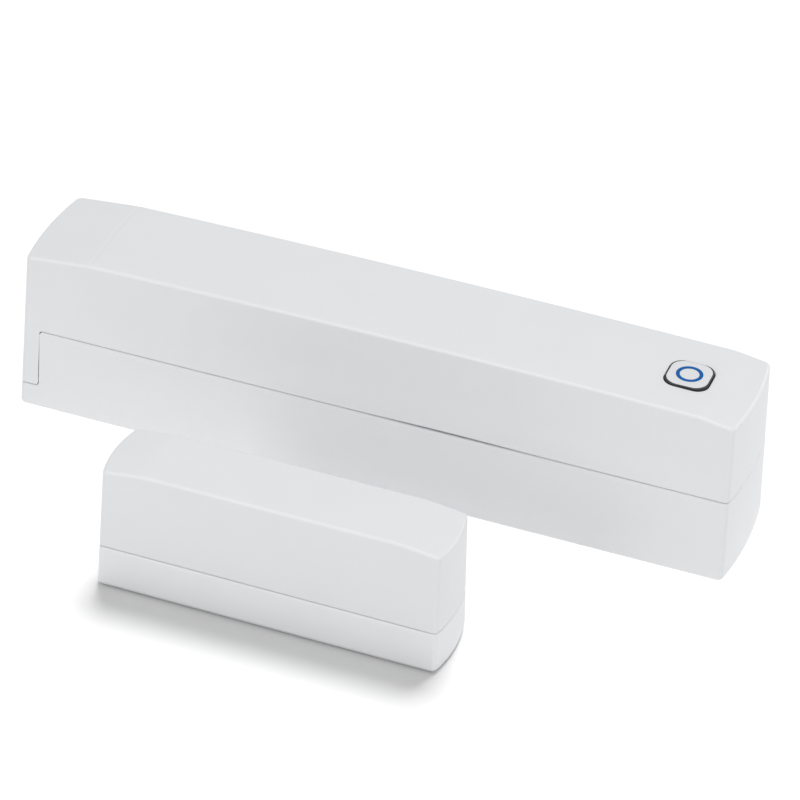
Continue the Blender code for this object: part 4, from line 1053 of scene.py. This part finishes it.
def tracks(bm, lead_x, reed_z, tabs, tact):
    """Supply rails, the reed and the radio to the chip, and a bus of fine lines between the chips."""
    chip_x, chip_z, chip, _, _, _ = part_box("microcontroller")
    chip_left, chip_right = chip_x - chip / 2, chip_x + chip / 2
    radio_x, radio_z = part_box("radio_chip")[:2]
    bulk_x, bulk_z = part_box("bulk_capacitor")[:2]
    led_x, led_z = part_box("status_led")[:2]
    crystal_x, crystal_z = part_box("crystal")[:2]
    (left, right), (tact_x, tact_z) = tabs, tact
    rail, turn_x = 3.4, chip_x + 2.0
    for width, *points in (
        (1.1, (left, CELL.z), (left + 3.0, rail + 1.0), (bulk_x - 6.0, rail + 1.0)),
        (1.1, (right, CELL.z), (right - 3.0, rail + 4.0), (bulk_x, rail + 8.0), (bulk_x, bulk_z)),
        (0.35, (lead_x[0], reed_z), (lead_x[0] - 2.0, reed_z - 3.0), (radio_x - 2.0, reed_z - 4.2)),
        (0.35, (lead_x[1], reed_z), (lead_x[1] + 1.6, reed_z + 1.0), (chip_left, reed_z + 1.0)),
        (0.3, (led_x, led_z), (led_x - 4.0, led_z), (chip_right, chip_z + 2.2)),
        (0.3, (tact_x - 2.5, tact_z), (tact_x - 6.0, tact_z - 3.0), (turn_x, 12.2), (turn_x, chip_z)),
        (0.3, (crystal_x - 1.8, crystal_z), (chip_right, chip_z + 1.0)),
        (0.6, (-38.0, 12.4), (-32.6, 12.4), (-31.0, radio_z - 2.0), (radio_x, radio_z - 2.0)),
    ):
        strip(bm, points, width, TRACK)
    for i in range(5):
        offset = 0.55 * i
        start, level, end = radio_x + 1.0 + offset, 11.6 - offset, chip_x - 1.0 - offset
        strip(bm, ((start, radio_z), (start, level), (end, level), (end, chip_z)), 0.22, TRACK)


def circuit_board():
    """Laminate between two masked faces, with tracks, pads, vias and printed outlines on its front."""
    low, high = BOARD_LOW, BOARD_HIGH
    center = ((low.x + high.x) / 2, (low.z + high.z) / 2)
    outline = rounded(high.x - low.x, high.z - low.z, 1.0, center)
    thick, mask = high.y - low.y, 0.06
    levels = [(-thick, 0.03), (-thick + mask, 0.0), (-mask, 0.0), (0.0, 0.03)]
    bm = stack(outline, levels, on_board, bands=[1, 0, 1, 1])

    lead_x = [node_box("reed_lead_left")[0].x + 0.25, node_box("reed_contact_fixed")[1].x - 0.25]
    reed_z = middle_of("reed_glass").z
    tabs = [middle_of("battery_contact_" + end).x for end in ("negative", "positive")]
    tact = part_box("tact_switch_bracket")[:2]
    tracks(bm, lead_x, reed_z, tabs, tact)
    for x in lead_x:
        via(bm, x, reed_z, 0.7)
    for x in tabs:
        pad(bm, x, CELL.z, 3.4, 3.8)
    for side in SIDES:
        for rise in (-3.4, 3.4):
            via(bm, tact[0] + side * 2.4, tact[1] + rise, 0.55)
    for i in range(26):
        x = low.x + 3.0 + i * 3.45
        rows = ((9.2, i % 3 != 1), (13.1, i % 4 == 2), (low.z + 1.1, True), (high.z - 0.8, i % 2 == 0))
        for z, keep in rows:
            if keep and x < high.x - 2.0 and not (z > 12.0 and x < -30.0):
                via(bm, x, z, 0.28)
                via(bm, x, z, 0.28, behind=True)
    for i in range(6):
        pad(bm, -9.0 + 1.9 * i, 7.0, 1.1, 1.1)
    for node in ("microcontroller", "crystal", "bulk_capacitor", "status_led", "tact_switch_bracket"):
        frame_lines(bm, node, 0.35)
    for node in CHIP_CAPACITORS + CHIP_RESISTORS:
        frame_lines(bm, node, 0.25)
    kinds = ("laminate", "solder_mask", "solder", "masked_copper", "legend_ink")
    piece("circuit_board", bm, "board_laminate", *kinds)


def radio_shield():
    """Drawn steel can with rounded edges, rows of vent holes, a pressed panel and feet in the board."""
    x, z, width, height, gap, out = part_box("radio_shield")
    wall = 0.25
    outline = rounded(width, height, 0.7, (x, z), 5)
    obj = blank("radio_shield", stack(outline, edged(gap, out, 0.0, 0.35, 4), on_board), "shield_steel")
    inside = rounded(width - 2 * wall, height - 2 * wall, 0.5, (x, z))
    carve(obj, stack(inside, [(gap - 0.5, 0.0), (out - wall, 0.0)], on_board))
    panel = rounded(width - 3.0, height - 2.6, 0.5, (x, z))
    carve(obj, stack(panel, [(out - 0.08, 0.06), (out + 0.3, -0.1)], on_board))
    for i in range(5):
        for k in range(2):
            center = (x - 4.4 + 2.2 * i, z - 1.1 + 2.2 * k)
            bore(obj, center, 0.42, out - 1.0, out + 0.5, 16, on_board)
    for i in range(4):
        notch_x = x - width / 2 + 2.0 + i * (width - 4.0) / 3 + 1.1
        for side in SIDES:
            notch_z = z + side * (height / 2 - 0.15) - 0.3
            notch_end = (notch_x + 0.9, notch_z + 0.6, gap + 0.45)
            carve(obj, block(bmesh.new(), (notch_x, notch_z, gap - 0.3), notch_end, 0.1, 0.05))
    show(obj)


def chip_package(node, pins):
    """A flat package: moulded body with a pin-one dimple, and metal lands along its four sides."""
    x, z, width, height, gap, out = part_box(node)
    body = rounded(width - 0.3, height - 0.3, 0.12, (x, z), 2)
    levels = [(gap + 0.05, 0.02), (gap + 0.10, 0.0), (out - 0.06, 0.03), (out, 0.09)]
    bm = stack(body, levels, on_board)
    pitch = (width - 1.4) / (pins - 1)
    half, top = pitch * 0.28, gap + 0.22
    for i in range(pins):
        run = -pitch * (pins - 1) / 2 + pitch * i
        for side in SIDES:
            edge, inner = side * width / 2, side * (width / 2 - 0.45)
            land = (x + edge, z + run - half, gap)
            block(bm, land, (x + inner, z + run + half, top), 0.03, 0.02, 1)
            land = (x + run - half, z + edge, gap)
            block(bm, land, (x + run + half, z + inner, top), 0.03, 0.02, 1)
    obj = blank(node, bm, "chip_resin", "solder")
    dot = circle(0.32, (x - width / 2 + 1.0, z + height / 2 - 1.0), 20)
    carve(obj, stack(dot, [(out - 0.06, 0.05), (out + 0.2, 0.0)], on_board))
    show(obj)


def crystal():
    """A low metal can: flange, domed lid and two pads."""
    x, z, width, height, gap, out = part_box("crystal")
    bm = stack(rounded(width, height, 1.0, (x, z), 6), edged(gap + 0.1, gap + 0.3, 0.05, 0.05), on_board)
    lid = rounded(width - 0.6, height - 0.6, 0.8, (x, z), 6)
    stack(lid, edged(gap + 0.25, out, 0.0, 0.3, 5), on_board, bm=bm)
    for side in SIDES:
        low_x = x + side * (width / 2 - 0.7) - 0.5
        block(bm, (low_x, z - 0.9, gap), (low_x + 1.0, z + 0.9, gap + 0.12), 0.1, 0.03, 1)
    piece("crystal", bm, "crystal_can", "crystal_can", "solder")


def bulk_capacitor():
    """A moulded tantalum block: drafted sides, a stripe at its positive end, wrap-round tabs."""
    x, z, width, height, gap, out = part_box("bulk_capacitor")
    parting, tab = (gap + out) / 2, 1.1
    levels = [(gap + 0.05, 0.14), (gap + 0.15, 0.08), (parting, 0.0), (out - 0.12, 0.06), (out, 0.16)]
    bm = stack(rounded(width - 0.3, height, 0.2, (x, z), 3), levels, on_board)
    slab(bm, x - width / 2 + 1.15, z, 0.4, height / 2 - 0.2, out - 0.3, out + 0.01, 0.05, 0.01, 2)
    for side in SIDES:
        edge = x + side * width / 2
        for reach, top in ((0.18, parting), (1.2, gap + 0.12)):
            block(bm, (edge, z - tab, gap), (edge - side * reach, z + tab, top), 0.05, 0.03, 1)
    piece("bulk_capacitor", bm, "capacitor_resin", "capacitor_resin", "solder", "stripe_ink")


def chip_part(node, slot, body_kind):
    """A two-terminal chip standing up and down on the board, with tinned ends and solder at its foot."""
    x, z, width, height, gap, out = part_box(node)
    cap = 0.38
    half_z = height / 2 - cap * 0.8
    bm = slab(bmesh.new(), x, z, width / 2 - 0.03, half_z, gap + 0.02, out - 0.02, 0.05, 0.04)
    for side in SIDES:
        edge = z + side * height / 2
        block(bm, (x - width / 2, edge, gap), (x + width / 2, edge - side * cap, out), 0.06, 0.06, 1)
    if node in CHIP_RESISTORS:
        slab(bm, x, z, width / 2 - 0.06, half_z, out - 0.03, out, 0.04, 0.01, 2)
    piece(node, bm, slot, body_kind, "solder", "resistor_film")


def status_led():
    """A small light: pale base with tinned ends under a clear, flat-topped lens."""
    x, z, width, height, gap, out = part_box("status_led")
    bm = slab(bmesh.new(), x, z, width / 2 - 0.05, height / 2, gap, gap + 0.3, 0.05, 0.03, 1)
    lens = rounded(width - 0.6, height, 0.15, (x, z))
    stack(lens, [(gap + 0.3, 0.0), (out - 0.12, 0.05), (out - 0.03, 0.10), (out, 0.18)], on_board, bm=bm)
    half_z = height / 2 - 0.1
    for side in SIDES:
        edge = x + side * width / 2
        block(bm, (edge, z - half_z, gap), (edge - side * 0.3, z + half_z, gap + 0.4), 0.05, 0.03, 2)
    piece("status_led", bm, "led_lens", "led_lens", "alumina", "solder")


def antenna():
    """A flat meander with rounded bends, soldered down at its fed end."""
    low, high = node_box("antenna")
    wire = (high.y - low.y) / 2
    bottom, top = low.z + wire, high.z - wire
    runs, pitch = 9, 1.3
    first = low.x + wire + pitch * (runs - 1)
    corners = [(high.x - wire, bottom)]
    for i in range(runs):
        x = first - pitch * i
        ends = [(x, bottom), (x, top)]
        corners += ends if i % 2 == 0 else reversed(ends)
    y = (low.y + high.y) / 2
    bm = sweep(bent([(x, y, z) for x, z in corners], 0.6), wire, 10)
    foot = (high.x - 0.9, bottom - 0.2, BOARD_FACE - high.y)
    block(bm, foot, (high.x, bottom + 0.5, BOARD_FACE - y + 0.1), 0.1, 0.08, 1)
    piece("antenna", bm, "antenna_copper", "antenna_copper", "solder")


# -------- reed switch, tact switch


def reed_glass():
    """Sealed tube: its ends melted round over the leads, its bore rounded off inside."""
    low, high = node_box("reed_glass")
    middle = (low + high) / 2
    half, radius, bore_radius, hole = (high.x - low.x) / 2, (high.z - low.z) / 2, 0.75, 0.36
    mouth = radius - hole
    outer = [(half - 0.7 + 0.7 * c, 0.55 * (1 - s)) for s, c in arc(5)]
    inner = [(half - 1.9 + 0.6 * s, mouth - (bore_radius - hole) * c) for s, c in arc(5)]
    loop = [(-half, mouth), *((-x, d) for x, d in outer), *outer[::-1], (half, mouth)]
    loop += [*inner, *((-x, d) for x, d in inner[::-1])]
    levels = [(middle.x + x, d) for x, d in loop]
    bm = stack(circle(radius, (middle.y, middle.z), 40), levels, along_x, closed=True)
    piece("reed_glass", bm, "reed_glass")


def blade(x_low, x_high, y, half_width, z_low, z_high, bm=None):
    corner = min(0.2, half_width * 0.5)
    outline = rounded(x_high - x_low, 2 * half_width, corner, ((x_low + x_high) / 2, y))
    return stack(outline, edged(z_low, z_high, 0.03, 0.03, 2), bm=bm)


def reed_lead(node):
    """A round lead through the glass seal, bent down to its pad; the fixed one ends in a contact blade."""
    low, high = node_box(node)
    glass_low, glass_high = node_box("reed_glass")
    fixed = node == "reed_contact_fixed"
    radius, seal_depth = 0.25, 0.6
    axis = (glass_low + glass_high) / 2
    seal = (glass_high.x - seal_depth) if fixed else (glass_low.x + seal_depth)
    far = (high.x - radius) if fixed else (low.x + radius)
    route = bent([(seal, axis.y, axis.z), (far, axis.y, axis.z), (far, high.y, axis.z)], 0.7)
    bm = sweep(route, radius, 14)
    if fixed:
        contact_low, contact_high = axis.x - 0.8, axis.x + 5.1
        heights = (axis.z + 0.08, axis.z + 0.24)
        blade(contact_low, contact_high, axis.y, 0.4, *heights, bm)
        blade(contact_high - 0.4, seal + 0.2, axis.y, 0.2, *heights, bm)
    piece(node, bm, "reed_nickel")


def reed_blade():
    low, high = node_box("reed_blade_moving")
    y, broad = (low.y + high.y) / 2, high.x - 5.9
    bm = blade(low.x, broad + 0.4, y, 0.2, low.z, high.z)
    blade(broad, high.x, y, 0.4, low.z, high.z, bm)
    piece("reed_blade_moving", bm, "reed_nickel", body="reed_blade")


def tact_switch():
    """Moulded body under a riveted steel frame, with a round bore for the plunger."""
    low, high = node_box("tact_switch_body")
    middle = (low + high) / 2
    rivet = (high.x - low.x) / 2 - 0.95
    frame_top, frame_bottom = high.z, high.z - 0.35
    body_high = (high.x, high.y, frame_bottom - 0.02)
    bm = block(bmesh.new(), low, body_high, 0.5, 0.15, place=upright)
    obj = blank("tact_switch_body", bm, "chip_resin", "plated_steel")
    plate_low = (low.x + 0.15, low.y + 0.15, frame_bottom - 0.1)
    plate_high = (high.x - 0.15, high.y - 0.15, frame_top)
    join(obj, block(bmesh.new(), plate_low, plate_high, 0.4, 0.08, place=upright))
    for sx in SIDES:
        for sy in SIDES:
            center = (middle.x + sx * rivet, middle.y + sy * rivet)
            bore(obj, center, 0.42, frame_top - 0.06, frame_top + 0.3, 20)
    plunger_low, plunger_high = node_box("tact_switch_plunger")
    hole = circle((plunger_high.x - plunger_low.x) / 2 + 0.15, (middle.x, middle.y), 40)
    levels = [(plunger_low.z - 0.35, 0.0), (frame_top - 0.12, 0.0), (frame_top + 0.1, -0.2)]
    carve(obj, stack(hole, levels))
    for face in obj.data.polygons:
        if face.center.z > (frame_bottom - 0.01) * MM:
            face.material_index = 1
    show(obj)


def tact_bracket():
    """Pressed plate between the switch and the board, with two pin slots."""
    low, high = node_box("tact_switch_bracket")
    out = BOARD_FACE - low.y
    bm = block(bmesh.new(), (low.x, low.z, BOARD_FACE - high.y), (high.x, high.z, out), 0.5, 0.15)
    obj = blank("tact_switch_bracket", bm, "plated_steel")
    for side in SIDES:
        x = (low.x + high.x) / 2 + side * 2.2
        slot = (x - 0.35, low.z + 0.7, out - 0.4)
        carve(obj, block(bmesh.new(), slot, (x + 0.35, high.z - 0.7, out + 0.4), 0.3, 0.02))
    show(obj)


def plunger():
    low, high = node_box("tact_switch_plunger")
    middle = (low + high) / 2
    radius = (high.x - low.x) / 2
    levels = edged(low.z, high.z - 0.06, 0.1, 0.3, 5)
    levels += [(high.z, 0.75 * radius), (high.z, radius - 0.02)]
    bm = stack(circle(radius, (middle.x, middle.y), 40), levels)
    piece("tact_switch_plunger", bm, "dark_plastic", body="tact_plunger")


# -------- button, magnet


def button_collar():
    """Dark carrier: a tapered collar round the cap, the flange under the roof and the stem."""
    low, high = node_box("button_collar")
    cap_low, cap_high = node_box("button_cap")
    flange_top = sensor_roof(*BUTTON_SPOT) - SENSOR_WALL - 0.3
    flange = stack(button_square(high.x - low.x, 1.0, 6), edged(flange_top - 0.8, flange_top, 0.1, 0.1))
    obj = blank("button_collar", flange, "dark_plastic")
    collar = button_square(COLLAR_SIZE, BUTTON_CORNER - 0.1, 12)
    join(obj, stack(collar, edged(flange_top - 0.4, cap_high.z - 0.10, 0.0, 0.06, 4)))
    seat = button_square(cap_high.x - cap_low.x + 0.06, BUTTON_CORNER + 0.03, 12)
    carve(obj, stack(seat, [(cap_low.z - 0.06, 0.0), (cap_high.z + 0.5, 0.0)]))
    join(obj, stack(button_square(3.6, 0.6), edged(low.z, flange_top - 0.4, 0.25, 0.0)))
    show(obj, "button")


def button_cap():
    """White cap with rounded edges and a slightly dished top."""
    low, high = node_box("button_cap")
    levels = edged(low.z + 0.01, high.z, 0.03, 0.07, 5)
    levels += [(high.z - 0.01, 0.6), (high.z - 0.03, 1.4), (high.z - 0.04, 2.4)]
    bm = stack(button_square(high.x - low.x, BUTTON_CORNER, 12), levels)
    piece("button_cap", bm, "cap_plastic", body="button")


def button_ring():
    """A plain ring printed on the cap."""
    low, high = node_box("button_ring")
    line, bevel, foot = 0.5, 0.03, node_box("button_cap")[1].z - 0.03
    edge, top = foot + 0.035, foot + 0.05
    levels = [(foot, 0.0), (edge, 0.0), (top, bevel), (top, line - bevel), (edge, line), (foot, line)]
    bm = stack(circle((high.x - low.x) / 2, BUTTON_SPOT, 72), levels, closed=True)
    piece("button_ring", bm, "ring_ink", body="button")


def bar_magnet():
    """Plated bar with rounded edges and a pole mark ground into one end."""
    low, high = node_box("bar_magnet")
    ends = ((low.y, low.z, low.x), (high.y, high.z, high.x))
    obj = blank("bar_magnet", block(bmesh.new(), *ends, 0.5, 0.3, place=along_x), "magnet_nickel")
    dimple = circle(0.8, (high.x - 3.5, (low.y + high.y) / 2), 24)
    carve(obj, stack(dimple, [(high.z - 0.15, 0.25), (high.z + 0.2, 0.0)]))
    show(obj, "magnet_unit")


def build_object():
    make_materials()
    for build in (sensor_cover, sensor_base, magnet_cover, magnet_base):
        build()
    adhesive_pad("sensor_adhesive_pad", "sensor_base")
    adhesive_pad("magnet_adhesive_pad", "magnet_unit")
    battery("battery_left")
    battery("battery_right")
    contact_plate("battery_contact_negative")
    contact_plate("battery_contact_positive")
    for build in (battery_spring, circuit_board, radio_shield):
        build()
    chip_package("radio_chip", 6)
    chip_package("microcontroller", 9)
    crystal()
    bulk_capacitor()
    for node in CHIP_CAPACITORS:
        chip_part(node, "chip_ceramic", "chip_ceramic")
    for node in CHIP_RESISTORS:
        chip_part(node, "resistor_film", "alumina")
    for build in (status_led, antenna, reed_glass):
        build()
    reed_lead("reed_contact_fixed")
    reed_lead("reed_lead_left")
    for build in (reed_blade, tact_switch, tact_bracket, plunger):
        build()
    for build in (button_collar, button_cap, button_ring, bar_magnet):
        build()


# -------- studio

WORLD = 0.49
FLOOR_LIGHT = 2.03
FLOOR_DROP = 0.02

# Each soft box is a name, its place, the point it faces, the length of its side, and its power.
SOFT_BOXES = (
    ("key", (60.0, -110.0, 700.0), (0.0, -10.0, 0.0), 700.0, 2.9),
    ("left", (-380.0, -690.0, 240.0), (-20.0, -20.0, 10.0), 340.0, 1.05),
    ("back", (440.0, 620.0, 240.0), (20.0, -20.0, 10.0), 400.0, 1.1),
    ("right", (600.0, -280.0, 480.0), (30.0, -20.0, 10.0), 300.0, 0.8),
)


def light(name, kind, turn, power):
    data = bpy.data.lights.new(name, kind)
    data.energy = power
    lamp = link(bpy.data.objects.new(name, data))
    lamp.rotation_mode = "QUATERNION"
    lamp.rotation_quaternion = turn
    return lamp


def soft_box(name, place, aim, side, power):
    turn = (Vector(aim) - Vector(place)).to_track_quat("-Z", "Y")
    lamp = light(name, "AREA", turn, power)
    lamp.location = Vector(place) * MM
    lamp.data.shape = "RECTANGLE"
    lamp.data.size = lamp.data.size_y = side * MM
    return lamp


def floor():
    """A broad white sweep under the object."""
    bm = bmesh.new()
    bmesh.ops.create_grid(bm, x_segments=8, y_segments=8, size=3000.0)
    obj = object_of("floor", bm, ["floor"])
    obj.location.z = -FLOOR_DROP * MM
    return obj


def group_of(name, members):
    group = bpy.data.collections.new(name)
    for obj in members:
        group.objects.link(obj)
    return group


def studio():
    """Even white surroundings, soft boxes above and at the sides, and a lamp for the floor alone.

    Only the magnet unit casts a shadow from the floor's lamp, so the floor stays white elsewhere.
    """
    pieces = [obj for obj in bpy.data.objects if obj.name.endswith("_fine")]
    casters = [obj for obj in pieces if obj.name.startswith("magnet_")]
    scene = bpy.context.scene
    scene.view_settings.view_transform = "Standard"
    scene.world = bpy.data.worlds.new("studio")
    scene.world.use_nodes = True
    background = scene.world.node_tree.nodes["Background"]
    background.inputs["Color"].default_value = (1.0, 1.0, 1.0, 1.0)
    background.inputs["Strength"].default_value = WORLD
    lit_pieces = group_of("lit_pieces", pieces)
    for row in SOFT_BOXES:
        soft_box(*row).light_linking.receiver_collection = lit_pieces
    turn = Vector((-10.0, 250.0, 700.0)).to_track_quat("Z", "Y")
    lamp = light("floor_lamp", "SUN", turn, FLOOR_LIGHT)
    lamp.data.angle = math.radians(19.0)
    lamp.light_linking.receiver_collection = group_of("lit_floor", [floor()])
    lamp.light_linking.blocker_collection = group_of("shadow_casters", casters)


def camera():
    """The photograph's viewpoint: a long lens from the front right, above, and rolled a little."""
    place = Vector((144.1467, -421.7849, 315.7200))
    right = Vector((0.9357425, 0.3496871, 0.0458781)).normalized()
    up = Vector((-0.2339822, 0.5181951, 0.8226337))
    back = right.cross(up).normalized()
    up = back.cross(right)
    data = bpy.data.cameras.new("view")
    data.lens = 180.0
    data.sensor_width = 36.0
    data.clip_start, data.clip_end = 0.01, 100.0
    obj = link(bpy.data.objects.new("view", data))
    turn = Matrix((right, up, back)).transposed().to_4x4()
    obj.matrix_world = Matrix.Translation(place * MM) @ turn
    bpy.context.scene.camera = obj


camera()
build_object()
studio()
